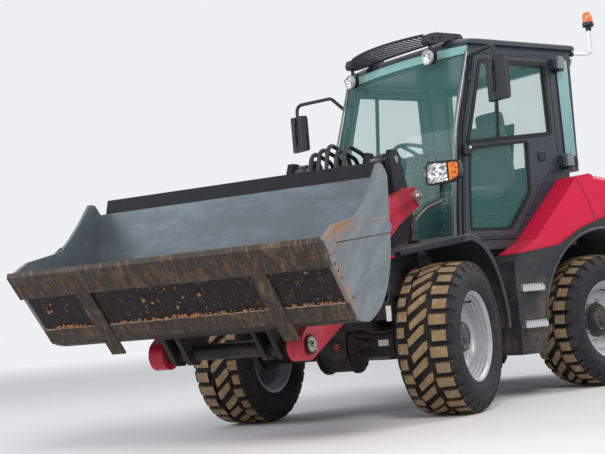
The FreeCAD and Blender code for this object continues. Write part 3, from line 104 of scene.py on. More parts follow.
def direct_rays(tree):
    """One for rays of the camera, off reflections and through glass."""
    path = add_node(tree, "ShaderNodeLightPath").outputs
    through = add_node(tree, "ShaderNodeMath", {0: path["Is Glossy Ray"], 1: path["Is Transmission Ray"]},
                       operation="MAXIMUM").outputs[0]
    return add_node(tree, "ShaderNodeMath", {0: path["Is Camera Ray"], 1: through},
                    operation="MAXIMUM").outputs[0]


class Shade:
    """A node material under construction, with its Principled shader and object coordinates."""

    def __init__(self, name, color, rough, **settings):
        MATERIALS[name] = bpy.data.materials.new(name)
        MATERIALS[name].use_nodes = True
        self.tree = MATERIALS[name].node_tree
        self.shader = self.tree.nodes["Principled BSDF"]
        self.shader.inputs["Base Color"].default_value = (*color, 1.0)
        self.shader.inputs["Roughness"].default_value = rough
        for key, value in settings.items():
            self.shader.inputs[SOCKETS[key]].default_value = value
        self.place = self.node("ShaderNodeTexCoord").outputs["Object"]

    def node(self, kind, inputs=(), **props):
        return add_node(self.tree, kind, inputs, **props)

    def spread(self, matrix, scale=(1, 1, 1)):
        """Coordinates in another frame, stretched."""
        back = matrix.inverted()
        local = self.node("ShaderNodeMapping", {"Vector": self.place, "Location": back.to_translation(),
                                                "Rotation": back.to_euler("XYZ")}).outputs[0]
        return self.node("ShaderNodeMapping", {"Vector": local, "Scale": scale}).outputs[0]

    def noise(self, scale, detail=4.0, rough=0.55, vector=None):
        return self.node("ShaderNodeTexNoise", {"Vector": vector or self.place, "Scale": scale,
                                                "Detail": detail, "Roughness": rough}).outputs["Fac"]

    def cells(self, scale):
        return self.node("ShaderNodeTexVoronoi", {"Vector": self.place, "Scale": scale}).outputs["Distance"]

    def wave(self, scale, distortion=0.0, direction="X"):
        return self.node("ShaderNodeTexWave", {"Vector": self.place, "Scale": scale,
                                               "Distortion": distortion}, bands_direction=direction).outputs["Fac"]

    def step(self, value, low, high):
        """Zero below low, one above high."""
        return self.node("ShaderNodeMapRange", {"Value": value, "From Min": low, "From Max": high},
                         interpolation_type="SMOOTHSTEP").outputs[0]

    def math(self, operation, first, second=0.0):
        return self.node("ShaderNodeMath", {0: first, 1: second}, operation=operation).outputs[0]

    def times(self, first, second):
        return self.math("MULTIPLY", first, second)

    def axis(self, which, vector=None):
        return self.node("ShaderNodeSeparateXYZ", {0: vector or self.place}).outputs[which]

    def blend(self, amount, first, second):
        colors = [value if isinstance(value, bpy.types.NodeSocket) else (*value[:3], 1.0)
                  for value in (first, second)]
        return self.node("ShaderNodeMix", {0: amount, 6: colors[0], 7: colors[1]},
                         data_type="RGBA").outputs[2]

    def lay(self, name, mix):
        """Links the shader's input to what a mix makes of what is there."""
        socket = self.shader.inputs[name]
        below = socket.links[0].from_socket if socket.links else socket.default_value
        self.tree.links.new(mix(below), socket)

    def over(self, amount, color, rough=None):
        """Lays another colour, and its roughness, over what is there."""
        self.lay("Base Color", lambda below: self.blend(amount, below, color))
        if rough is not None:
            self.lay("Roughness", lambda below: self.node(
                "ShaderNodeMix", {0: amount, 2: below, 3: rough}, data_type="FLOAT").outputs[0])
        return self

    def tint(self, noise, share, color, rough=None):
        """A colour over a share of a noise."""
        return self.over(self.times(self.noise(*noise), share), color, rough)

    def patches(self, noise, span, color, rough, share=None):
        """A colour where a noise is high, between two levels of it."""
        cover = self.step(self.noise(*noise), *span)
        return self.over(self.times(cover, share) if share else cover, color, rough)

    def bump(self, height, strength, distance):
        made = self.node("ShaderNodeBump", {"Height": height, "Strength": strength, "Distance": distance})
        self.tree.links.new(made.outputs[0], self.shader.inputs["Normal"])
        return self

    def grain(self, noise, strength, distance):
        return self.bump(self.noise(*noise), strength, distance)

    def dust(self, amount, low, high):
        """Dust that gathers low on the machine and on faces that look up."""
        height = self.step(self.axis(2), high, low)
        cloud = self.step(self.noise(7, 6, 0.65), 0.42, 0.72)
        specks = self.step(self.noise(90, 3, 0.6), 0.45, 0.7)
        cover = self.times(self.math("ADD", cloud, self.times(specks, 0.4)), height)
        facing = self.axis(2, self.node("ShaderNodeNewGeometry").outputs["Normal"])
        top = self.times(self.step(facing, 0.55, 0.95), 0.25)
        return self.over(self.times(self.math("ADD", cover, top), amount), DUST, 0.85)


def make_bucket_paint():
    shade = Shade("bucket_paint", (0.105, 0.125, 0.145), 0.42, metal=0.3)
    local = shade.spread(BUCKET)
    high = shade.axis(2, local)
    ahead = shade.axis(0, local)
    streak = shade.spread(BUCKET, (9.0, 2.0, 2.2))
    shade.patches((2, 6, 0.65, streak), (0.42, 0.72), (0.15, 0.18, 0.205), 0.36)
    outside = shade.step(shade.math("ABSOLUTE", shade.axis(1, local)), 0.908, 0.916)
    plate = shade.blend(shade.step(shade.noise(1.6, 7, 0.68, streak), 0.4, 0.7),
                        (0.12, 0.146, 0.168), (0.19, 0.224, 0.25))
    shade.over(outside, plate, 0.34)
    shade.patches((11, 7, 0.75), (0.56, 0.72), (0.1, 0.105, 0.11), 0.6, 0.45)
    front = shade.math("ADD", ahead, shade.times(high, 0.45))
    edge = shade.times(shade.step(front, 0.33, 0.46), shade.step(high, 0.42, 0.22))
    low_edge = shade.times(shade.step(high, 0.11, -0.01), shade.step(ahead, -0.05, 0.15))
    edge = shade.times(shade.math("MAXIMUM", edge, low_edge), outside)
    rusty = shade.times(edge, shade.step(shade.noise(12, 7, 0.75), 0.38, 0.6))
    shade.over(shade.times(rusty, 0.9), (0.33, 0.165, 0.075), 0.8)
    shade.grain((70, 5, 0.7, streak), 0.15, 0.0008)


def make_rubber_and_plastic():
    Shade("tyre_rubber", (0.013, 0.0145, 0.019), 0.6, specular=0.22).patches(
        (9, 5, 0.6), (0.4, 0.75), (0.034, 0.032, 0.031), 0.8).patches(
        (60, 4), (0.55, 0.8), MUD, 0.9, 0.35).grain((160, 3), 0.35, 0.0008)
    Shade("tyre_lug", (0.26, 0.175, 0.1), 0.85, specular=0.25).patches(
        (22, 6, 0.7), (0.45, 0.75), (0.4, 0.29, 0.17), 0.9).patches(
        (120, 3, 0.7), (0.56, 0.7), (0.035, 0.03, 0.027), 0.75).grain((140, 4, 0.7), 0.6, 0.002)
    Shade("tyre_flank", (0.05, 0.04, 0.032), 0.85, specular=0.2).patches(
        (22, 6, 0.7), (0.42, 0.72), (0.135, 0.092, 0.056), 0.9).grain((90, 6, 0.7), 0.4, 0.0012)
    plastic = Shade("dark_plastic", (0.018, 0.02, 0.025), 0.5, specular=0.28)
    plastic.bump(plastic.cells(900), 0.18, 0.0004)
    plastic.tint((4, 4), 0.5, (0.027, 0.03, 0.036), 0.6).dust(0.28, 0.25, 1.2)
    # A lighter copy of the dark plastic: painted highlight on the rounded lips; the grey patches are scuffs.
    lip = Shade("plastic_lip", (0.036, 0.04, 0.048), 0.4, specular=0.35)
    lip.patches((8, 6, 0.7), (0.45, 0.75), (0.13, 0.12, 0.105), 0.7, 0.5).bump(lip.cells(700), 0.12, 0.0004)
    Shade("hose_rubber", (0.01, 0.01, 0.012), 0.45, specular=0.4).tint(
        (25, 5), 0.45, (0.05, 0.046, 0.04), 0.75).grain((400, 2), 0.2, 0.0005)
    Shade("seal_rubber", (0.008, 0.008, 0.01), 0.5, specular=0.2).tint(
        (40, 4), 0.5, (0.03, 0.03, 0.03), 0.7).grain((500, 2), 0.15, 0.0003)
    Shade("soft_black", (0.009, 0.009, 0.011), 0.6, specular=0.15).tint(
        (30, 4), 0.5, (0.04, 0.04, 0.042), 0.75).grain((260, 3), 0.2, 0.0005)
    fabric = Shade("seat_fabric", (0.045, 0.048, 0.055), 0.85, sheen=0.3)
    fabric.bump(fabric.wave(240, 1.5), 0.4, 0.001).tint((30, 4), 0.5, (0.07, 0.074, 0.082))


def make_paints():
    Shade("rim_silver", (0.4, 0.41, 0.43), 0.4, metal=0.35).patches(
        (11, 6, 0.6), (0.42, 0.8), (0.27, 0.25, 0.22), 0.6, 0.55).grain((300, 2), 0.12, 0.0004)
    Shade("red_paint", (0.62, 0.004, 0.048), 0.32, coat=0.12, coat_rough=0.1, specular=0.22).tint(
        (3, 3), 0.35, (0.42, 0.005, 0.03)).grain((420, 2), 0.06, 0.0003).dust(0.22, 0.3, 1.3)
    Shade("arm_paint", (0.48, 0.004, 0.036), 0.34, coat=0.12, coat_rough=0.15, specular=0.25).patches(
        (5, 5, 0.6), (0.4, 0.75), (0.22, 0.006, 0.016), 0.5, 0.5).patches(
        (38, 6, 0.72), (0.665, 0.7), (0.05, 0.03, 0.025), 0.7).dust(0.25, 0.3, 1.3)
    Shade("slate_paint", (0.03, 0.039, 0.056), 0.38, coat=0.2, coat_rough=0.2, specular=0.3).tint(
        (6, 5), 0.4, (0.024, 0.031, 0.045), 0.46).grain((500, 2), 0.08, 0.0003).dust(0.3, 0.3, 1.5)
    header = Shade("screen_band", (0.03, 0.039, 0.056), 0.3, specular=0.35)
    header.over(header.step(header.axis(2), 2.3, 2.302), (0.22, 0.43, 0.42), 0.12)
    header.tint((8, 4), 0.3, (0.12, 0.22, 0.22))
    Shade("cylinder_black", (0.014, 0.014, 0.017), 0.34, coat=0.15, coat_rough=0.25, specular=0.35).tint(
        (9, 5), 0.5, (0.035, 0.035, 0.038), 0.5).dust(0.1, 0.3, 1.6)
    Shade("black_gloss", (0.01, 0.01, 0.013), 0.3, specular=0.35).tint(
        (14, 4), 0.5, (0.03, 0.03, 0.033), 0.35).grain((300, 2), 0.05, 0.0003)
    # Lighter grey than the cab frame: a painted highlight band on the windscreen's corner, over real gloss.
    Shade("pillar_gloss", (0.11, 0.12, 0.13), 0.16, metal=0.2, coat=0.8, coat_rough=0.06).tint(
        (5, 4), 0.4, (0.07, 0.075, 0.082), 0.25)
    Shade("hinge_grey", (0.18, 0.2, 0.225), 0.35, metal=0.1, coat=0.2).tint(
        (30, 5), 0.4, (0.11, 0.12, 0.13), 0.5)
    Shade("white_plate", (0.8, 0.8, 0.79), 0.35).patches(
        (25, 6), (0.5, 0.8), (0.55, 0.52, 0.47), 0.6, 0.5)


def make_metals():
    Shade("black_steel", (0.009, 0.01, 0.013), 0.42, specular=0.22).grain(
        (220, 3), 0.15, 0.0005).dust(0.1, 0.3, 1.2)
    Shade("cast_iron", (0.01, 0.011, 0.015), 0.4, specular=0.3).grain(
        (130, 5, 0.65), 0.5, 0.0015).dust(0.14, 0.3, 1.0)
    under = Shade("bucket_under", (0.01, 0.008, 0.011), 0.5, specular=0.2)
    flecks = under.spread(BUCKET, (1.0, 1.6, 1.0))
    under.patches((20, 9, 0.85, flecks), (0.555, 0.61), (0.2, 0.105, 0.055), 0.9).patches(
        (6, 6, 0.7, flecks), (0.45, 0.75), (0.04, 0.026, 0.02), 0.8, 0.45).grain((60, 6, 0.75), 0.35, 0.0015)
    Shade("caked_earth", (0.32, 0.155, 0.075), 0.95, specular=0.1).patches(
        (60, 6, 0.7), (0.45, 0.7), (0.42, 0.23, 0.12), 0.95).grain((180, 5, 0.75), 0.9, 0.003)
    worn = Shade("worn_steel", (0.034, 0.025, 0.021), 0.55, specular=0.3)
    scratch = worn.spread(BUCKET, (5.0, 26.0, 5.0))
    worn.patches((2, 7, 0.7, scratch), (0.48, 0.7), (0.15, 0.092, 0.056), 0.6).patches(
        (3, 7, 0.7, scratch), (0.58, 0.7), (0.02, 0.016, 0.015), 0.5).patches(
        (13, 6, 0.75), (0.6, 0.76), RUST, 0.85, 0.45).patches(
        (5, 5, 0.7), (0.5, 0.75), MUD, 0.9, 0.35).grain((60, 6, 0.75), 0.45, 0.0015)
    Shade("chrome_rod", (0.8, 0.81, 0.82), 0.12, metal=1.0).patches(
        (45, 5), (0.55, 0.8), (0.45, 0.42, 0.38), 0.35, 0.4)
    Shade("step_steel", (0.55, 0.56, 0.57), 0.36, metal=0.85).patches(
        (20, 6, 0.7), (0.45, 0.75), (0.27, 0.25, 0.22), 0.6, 0.6).grain((120, 4), 0.3, 0.0008)
    Shade("pin_steel", (0.42, 0.41, 0.39), 0.34, metal=0.9).patches(
        (35, 6, 0.7), (0.45, 0.7), (0.16, 0.12, 0.09), 0.6, 0.7)
    Shade("rust", (0.15, 0.066, 0.03), 0.88).patches(
        (90, 6, 0.75), (0.42, 0.68), (0.2, 0.065, 0.025), 0.9).grain((200, 4, 0.7), 0.6, 0.001)
    Shade("weld_bead", (0.27, 0.25, 0.235), 0.6, metal=0.2).patches(
        (60, 6, 0.75), (0.46, 0.62), (0.3, 0.15, 0.07), 0.85).grain((240, 3), 0.7, 0.001)
    Shade("mirror_face", (0.82, 0.84, 0.86), 0.04, metal=1.0).patches(
        (18, 6), (0.5, 0.9), (0.6, 0.6, 0.58), 0.2, 0.3)


def make_glass_and_lamps():
    Shade("cab_glass", (0.13, 0.38, 0.36), 0.03, alpha=0.15, specular=0.6).patches(
        (9, 6), (0.52, 0.9), (0.25, 0.29, 0.27), 0.2, 0.25)
    pane = Shade("quarter_glass", (0.16, 0.33, 0.33), 0.05, coat=0.6)
    # Painted reflection: the opaque pane turns a lighter teal towards its top.
    pane.over(pane.times(pane.step(pane.axis(2), 1.7, 2.4), 0.6), (0.3, 0.52, 0.52))
    pane.tint((9, 4), 0.2, (0.1, 0.2, 0.2), 0.15)
    lamp = Shade("lamp_glass", (0.78, 0.8, 0.82), 0.08, metal=0.35, coat=1.0, coat_rough=0.03)
    lamp.bump(lamp.wave(42, direction="Z"), 0.45, 0.002)
    lamp.over(lamp.times(lamp.cells(34), 0.5), (0.4, 0.42, 0.44))
    orange = Shade("beacon_orange", (0.8, 0.16, 0.008), 0.16, coat=0.8, coat_rough=0.05)
    orange.bump(orange.wave(60), 0.3, 0.001).tint((30, 3), 0.4, (0.55, 0.07, 0.004))
    bowl = Shade("reflector", (0.86, 0.87, 0.88), 0.1, metal=0.9)
    bowl.patches((34, 3, 0.6), (0.52, 0.6), (0.16, 0.17, 0.18), 0.25).patches(
        (52, 3, 0.6), (0.6, 0.66), (0.62, 0.5, 0.3), 0.2).bump(bowl.cells(70), 0.8, 0.004)
    Shade("lens_clear", (0.85, 0.88, 0.9), 0.03, alpha=0.08, specular=0.8).grain((40, 2), 0.1, 0.001)
    # The lighter colour towards the cell edges is a painted glint on the lens facets.
    for name, color, rough, coat, scale, facet_glint, bump in (
            ("lens_amber", (0.55, 0.075, 0.004), 0.15, 0.4, 46, (0.78, 0.22, 0.02), (0.6, 0.003)),
            ("lens_red", (0.55, 0.01, 0.01), 0.12, 0.9, 60, (0.75, 0.03, 0.02), (0.5, 0.002))):
        lens = Shade(name, color, rough, coat=coat, coat_rough=0.04)
        lens.over(lens.step(lens.cells(scale), 0.3, 0.55), facet_glint).bump(lens.cells(scale), *bump)


make_rubber_and_plastic()
make_paints()
make_metals()
make_bucket_paint()
make_glass_and_lamps()


# Shapes

# Places from two coordinates across an axis and one along it
SPOTS = {
    "X": lambda a, b, along: (along, a, b),
    "Y": lambda a, b, along: (a, along, b),
    "Z": lambda a, b, along: (a, b, along),
}


def solid(name, mesh, materials, body, smooth=35.0, bevel=0.0, replaces=None, place=Matrix()):
    """Makes the piece of a built mesh: its materials, smooth shading, edges, and the body it rides on."""
    data = bpy.data.meshes.new(name)
    bmesh.ops.recalc_face_normals(mesh, faces=mesh.faces)
    mesh.to_mesh(data)
    mesh.free()
    piece = bpy.data.objects.new(name, data)
    bpy.context.collection.objects.link(piece)
    piece.matrix_world = place
    names = materials.split()
    for one in names:
        data.materials.append(MATERIALS[one])
    for polygon in data.polygons:
        polygon.use_smooth = True
    if bevel:
        edge = piece.modifiers.new("edges", "BEVEL")
        edge.width = bevel
        edge.segments = 2
        edge.limit_method = "ANGLE"
        edge.angle_limit = math.radians(30)
        edge.harden_normals = True
    else:
        data.set_sharp_from_angle(angle=math.radians(smooth))
    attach(piece, body)
    if replaces:
        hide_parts(replaces)
    return piece


def sided(side, points):
    """Points of (x, y, z), or of (y, z), on the machine's left (1) or right (-1)."""
    return [(*p[:-2], side * p[-2], p[-1]) for p in points]


def span(side, low, high):
    """Two levels on the machine's left or right, the lower first."""
    return sorted((side * low, side * high))


def around(count, radius, start=0.0):
    """Places of (x, z) in a ring round an axle."""
    for index in range(count):
        angle = 2 * math.pi * index / count + start
        yield radius * math.cos(angle), radius * math.sin(angle)


def loop_of(mesh, outline, level, matrix, axis):
    return [mesh.verts.new(matrix @ Vector(SPOTS[axis](a, b, level))) for a, b in outline]


def skin(mesh, loops, material=0, wrap=True, back=False):
    """Faces between neighbouring loops of vertices."""
    for here, there in zip(loops, loops[1:]):
        count = len(here)
        for i in range(count if wrap else count - 1):
            j = (i + 1) % count
            corners = ((here[j], here[i], there[i], there[j]) if back
                       else (here[i], here[j], there[j], there[i]))
            mesh.faces.new(corners).material_index = material


def cap(mesh, loops, material=0):
    """Faces over the first loop and the last."""
    for loop in (loops[0], loops[-1][::-1]):
        mesh.faces.new(loop).material_index = material


def prism(mesh, outline, low, high, matrix, axis="Y", material=0):
    """A slab of an outline between two levels along an axis."""
    loops = [loop_of(mesh, outline, level, matrix, axis) for level in (low, high)]
    cap(mesh, loops, material)
    skin(mesh, loops, material, back=True)


def slab(mesh, low, high, matrix, material=0):
    """A block between two corners."""
    prism(mesh, ((low[0], low[2]), (high[0], low[2]), (high[0], high[2]), (low[0], high[2])),
          low[1], high[1], matrix, "Y", material)


def lathe(mesh, profile, count, matrix=Matrix(), axis="Y", material=0):
    """Turns a profile of (along the axis, from the axis); it is a closed one unless it ends on the axis."""
    on_axis = 0 in (profile[0][1], profile[-1][1])
    rings = []
    for step in range(count):
        angle = 2 * math.pi * step / count
        rings.append([mesh.verts.new(matrix @ Vector(SPOTS[axis](
            out * math.cos(angle), out * math.sin(angle), along))) for along, out in profile])
    skin(mesh, rings + rings[:1], material, wrap=not on_axis)
    if on_axis:
        bmesh.ops.remove_doubles(mesh, verts=[v for ring in rings for v in ring], dist=1e-6)


def smooth_line(points, steps=8, lead=None):
    """Points along a Catmull-Rom line through the given ones, led into from another point."""
    points = [Vector(p) for p in points]
    first = Vector(lead) if lead else points[0] * 2 - points[1]
    ends = [first] + points + [points[-1] * 2 - points[-2]]
    line = []
    for i in range(1, len(ends) - 2):
        before, start, end, after = ends[i - 1:i + 3]
        for step in range(steps):
            t = step / steps
            line.append(0.5 * ((2 * start) + (end - before) * t
                               + (2 * before - 5 * start + 4 * end - after) * t * t
                               + (3 * start - before - 3 * end + after) * t ** 3))
    return line + [points[-1]]


def pipe(mesh, points, radius, sides=12, matrix=Matrix(), steps=8, material=0):
    """A round tube along a smooth line."""
    line = smooth_line(points, steps)
    normal = (line[1] - line[0]).normalized().orthogonal().normalized()
    rings = []
    for i, spot in enumerate(line):
        ahead = (line[min(i + 1, len(line) - 1)] - line[max(i - 1, 0)]).normalized()
        normal = (normal - ahead * normal.dot(ahead)).normalized()
        side = ahead.cross(normal)
        angles = [2 * math.pi * k / sides for k in range(sides)]
        rings.append([mesh.verts.new(matrix @ (spot + radius * (math.cos(a) * normal + math.sin(a) * side)))
                      for a in angles])
    cap(mesh, rings, material)
    skin(mesh, rings, material, back=True)


def bolt(mesh, spot, normal, size, matrix=Matrix(), material=0, washer=True):
    """A hexagon head on its washer, standing on a surface."""
    turn = Vector(normal).to_track_quat("Z", "Y").to_matrix().to_4x4()
    seat = matrix @ Matrix.Translation(Vector(spot)) @ turn
    if washer:
        lathe(mesh, ((0, 0), (0, size * 1.45), (size * 0.22, size * 1.35), (size * 0.22, 0)), 16, seat, "Z",
              material)
    base = size * (0.2 if washer else 0.0)
    lathe(mesh, ((base, 0), (base, size), (base + size * 0.62, size), (base + size * 0.75, size * 0.82),
                 (base + size * 0.75, 0)), 6, seat, "Z", material)


def rounded(outline, radius, steps=4):
    """The outline with its corners rounded."""
    made = []
    count = len(outline)
    for i in range(count):
        before, corner, after = (Vector(outline[(i + d) % count]) for d in (-1, 0, 1))
        back = before - corner
        ahead = after - corner
        reach = min(radius, back.length * 0.45, ahead.length * 0.45)
        first = corner + back.normalized() * reach
        last = corner + ahead.normalized() * reach
        for step in range(steps + 1):
            t = step / steps
            made.append(tuple(first.lerp(corner, t).lerp(corner.lerp(last, t), t)))
    return made


def inward(outline, distance):
    """The outline with every side moved inward."""
    pairs = list(zip(outline, outline[1:] + outline[:1]))
    area = sum(a[0] * b[1] - b[0] * a[1] for a, b in pairs)
    lines = []
    for a, b in pairs:
        along = Vector((b[0] - a[0], b[1] - a[1])).normalized()
        normal = Vector((-along.y, along.x)) * (distance if area > 0 else -distance)
        lines.append((Vector(a) + normal, along))
    made = []
    for (spot, way), (other, bend) in zip(lines[-1:] + lines[:-1], lines):
        cross = way.x * bend.y - way.y * bend.x
        gap = other - spot
        straight = abs(cross) < 1e-6
        made.append(tuple(other if straight else spot + way * ((gap.x * bend.y - gap.y * bend.x) / cross)))
    return made


def ring_slab(mesh, outline, width, low, high, matrix, axis="Y", material=0):
    """A closed frame of a width inside an outline, between two levels."""
    inner = inward(outline, width)
    loops = [loop_of(mesh, line, level, matrix, axis)
             for line, level in ((outline, low), (outline, high), (inner, high), (inner, low))]
    skin(mesh, loops + loops[:1], material)


# Tyres

LUG_HEIGHT = 0.028
LUG_ROWS = 30
FLOOR_DEPTH = 0.03
CARCASS = (
    (0.0, 0.431), (0.06, 0.4305), (0.11, 0.429), (0.145, 0.4255), (0.166, 0.419), (0.178, 0.406),
    (0.186, 0.39), (0.1915, 0.372), (0.195, 0.356), (0.1955, 0.352), (0.1938, 0.35), (0.1936, 0.344),
    (0.195, 0.342), (0.1945, 0.334), (0.1915, 0.318), (0.186, 0.302), (0.18, 0.29), (0.176, 0.283),
    (0.1765, 0.279), (0.174, 0.276), (0.168, 0.2735), (0.162, 0.272), (0.153, 0.269), (0.149, 0.256),
)
WHEELS = [(f"{end}_{hand}", base @ moved(ahead, side * HALF_TRACK, TYRE_RADIUS)
           @ turned("Z", 0 if side > 0 else 180))
          for end, base, ahead in (("front", FRONT, FRONT_AXLE), ("rear", REAR, REAR_AXLE))
          for hand, side in SIDES]


def crown(across):
    """How far the tread falls towards its shoulders."""
    return 0.01 * (across / 0.165) ** 2 if across < 0.155 else 0.01


def tyre_spot(mesh, across, along, out):
    """A vertex from its places across the tyre, along the circumference and from the axle."""
    angle = along / TYRE_RADIUS
    return mesh.verts.new((out * math.cos(angle), across, out * math.sin(angle)))


def tread_lug(mesh, corners):
    """A block of the tread: its outline of (across, along the circumference) bent round the tyre."""
    middle = Vector((sum(c[0] for c in corners), sum(c[1] for c in corners))) / len(corners)
    loops = []
    for level, grow in ((0.0, 0.93), (0.003, 0.985), (LUG_HEIGHT * 0.6, 1.02), (LUG_HEIGHT, 1.08)):
        spots = [(middle.x + (a - middle.x) * grow, middle.y + (v - middle.y) * grow) for a, v in corners]
        loops.append([tyre_spot(mesh, a, v, TYRE_RADIUS - crown(a) - level) for a, v in spots])
    mesh.faces.new(loops[0]).material_index = 1
    skin(mesh, loops[:2], 1)
    skin(mesh, loops[1:], 2)
    mesh.faces.new(loops[-1][::-1])


def densify(corners, parts=3):
    """More points along each side, so that a lug follows the tyre's curve."""
    made = []
    for a, b in zip(corners, corners[1:] + corners[:1]):
        for step in range(parts):
            t = step / parts
            made.append((a[0] + (b[0] - a[0]) * t, a[1] + (b[1] - a[1]) * t))
    return made


def shoulder_lug(mesh, side, start, low, high):
    """A shoulder block: the tread face and the buttress that runs down the upper sidewall."""
    section = ((start, 0.0), (0.15, 0.0), (0.164, 0.004), (0.172, 0.016), (0.181, 0.034), (0.187, 0.052))
    floor = ((start, FLOOR_DEPTH), (0.15, FLOOR_DEPTH), (0.16, 0.036), (0.168, 0.044), (0.178, 0.056),
             (0.184, 0.066))
    face_line = [(y, fall + crown(y)) for y, fall in section]
    loops = [[tyre_spot(mesh, side * y, along, TYRE_RADIUS - drop) for y, drop in line]
             for along, line in ((low - 0.003, floor), (low, face_line), (0.5 * (low + high), face_line),
                                 (high, face_line), (high + 0.003, floor))]
    for index, (here, there) in enumerate(zip(loops, loops[1:])):
        inner = 0 < index < 3
        for i in range(len(section) - 1):
            face = mesh.faces.new((here[i], here[i + 1], there[i + 1], there[i]))
            face.material_index = (1 if i < 1 else 0) if inner else (2 if i < 3 else 0)
    for here, there in zip(loops, loops[1:]):
        out = []
        for loop in (here, there):
            spot = loop[0].co.copy()
            deep = Vector((spot.x, 0, spot.z)).normalized() * (TYRE_RADIUS - FLOOR_DEPTH)
            out.append(mesh.verts.new((deep.x, spot.y, deep.z)))
        mesh.faces.new((here[0], there[0], out[1], out[0]))


def make_tyres():
    pitch = 2 * math.pi * TYRE_RADIUS / LUG_ROWS
    for place, seat in WHEELS:
        mesh = bmesh.new()
        lathe(mesh, CARCASS + tuple((-y, r) for y, r in CARCASS[:0:-1]), 96)
        for index in range(LUG_ROWS):
            low = index * pitch
            outer, inner, left, right = ((0.066, 0.104, -0.088, 0.022),
                                         (0.048, 0.088, -0.074, 0.036))[index % 2]
            shoulder_lug(mesh, 1, outer, low, low + 0.062)
            shoulder_lug(mesh, -1, inner, low + 0.03, low + 0.03 + 0.06)
            base = low + 0.012
            tread_lug(mesh, densify(((left, base + 0.004), (left + 0.004, base - 0.042),
                                     (right - 0.004, base + 0.038), (right, base + 0.092),
                                     (right - 0.024, base + 0.082))))
        solid(f"lugged_tyre_{place}", mesh, "tyre_rubber tyre_lug tyre_flank", f"wheel_{place}", smooth=40.0,
              replaces=f"tyre_{place}", place=seat)


# Rims and hubs

RIM_PROFILE = (
    (0.094, 0.0), (0.094, 0.058), (0.089, 0.078), (0.034, 0.1), (0.029, 0.107), (0.029, 0.15),
    (0.034, 0.17), (0.045, 0.192), (0.06, 0.206), (0.072, 0.211), (0.084, 0.2125), (0.087, 0.223),
    (0.105, 0.2245), (0.108, 0.2345), (0.126, 0.236), (0.129, 0.2455), (0.147, 0.247), (0.152, 0.2545),
    (0.158, 0.261), (0.1605, 0.269), (0.165, 0.2715), (0.16, 0.274), (0.153, 0.268), (0.15, 0.255),
    (-0.15, 0.255), (-0.153, 0.268), (-0.16, 0.2725), (-0.165, 0.269), (-0.163, 0.252), (-0.135, 0.244),
    (-0.108, 0.218), (-0.03, 0.212), (0.035, 0.203), (0.02, 0.165), (0.015, 0.15), (0.015, 0.084),
    (-0.115, 0.082), (-0.115, 0.0),
)


def make_rims():
    for place, seat in WHEELS:
        body = f"wheel_{place}"
        mesh = bmesh.new()
        lathe(mesh, RIM_PROFILE, 72)
        solid(f"dished_rim_{place}", mesh, "rim_silver", body, smooth=28.0, replaces=f"rim_{place}",
              place=seat)
        mesh = bmesh.new()
        lathe(mesh, ((0.0285, 0.0), (0.0285, 0.119), (0.037, 0.119), (0.04, 0.114), (0.042, 0.104),
                     (0.092, 0.086), (0.099, 0.08), (0.1, 0.066), (0.096, 0.06), (0.096, 0.04),
                     (0.103, 0.036), (0.105, 0.0)), 40)
        for x, z in around(8, 0.134, 0.2):
            bolt(mesh, (x, 0.0292, z), (0, 1, 0), 0.0125, material=1)
            lathe(mesh, ((0, 0), (0, 0.007), (0.011, 0.007), (0.014, 0.005), (0.014, 0)), 12,
                  moved(x, 0.038, z), "Y", 1)
        for x, z in around(6, 0.073):
            bolt(mesh, (x, 0.099, z), (0, 1, 0), 0.0055, material=1, washer=False)
        solid(f"wheel_hub_{place}", mesh, "cylinder_black pin_steel", body, smooth=30.0, place=seat)
        mesh = bmesh.new()
        pipe(mesh, ((0.0, 0.098, 0.212), (0.0, 0.108, 0.206), (0.0, 0.122, 0.204), (0.0, 0.14, 0.206)),
             0.0045, 10)
        lathe(mesh, ((0.0, 0.0), (0.0, 0.0065), (0.016, 0.0065), (0.019, 0.004), (0.019, 0.0)), 12,
              moved(0.0, 0.136, 0.206))
        solid(f"valve_stem_{place}", mesh, "black_gloss", body, place=seat)


# Headlamps on their arms

def clipped(outline, side, low, high):
    """The part of an outline between two distances from the middle plane."""
    for edge, sense in ((low, 1), (high, -1)):
        kept = []
        for a, b in zip(outline, outline[1:] + outline[:1]):
            here, there = (sense * (spot[0] * side - edge) for spot in (a, b))
            if here >= 0:
                kept.append(a)
            if here * there < 0:
                t = here / (here - there)
                kept.append((a[0] + (b[0] - a[0]) * t, a[1] + (b[1] - a[1]) * t))
        outline = kept
    return outline


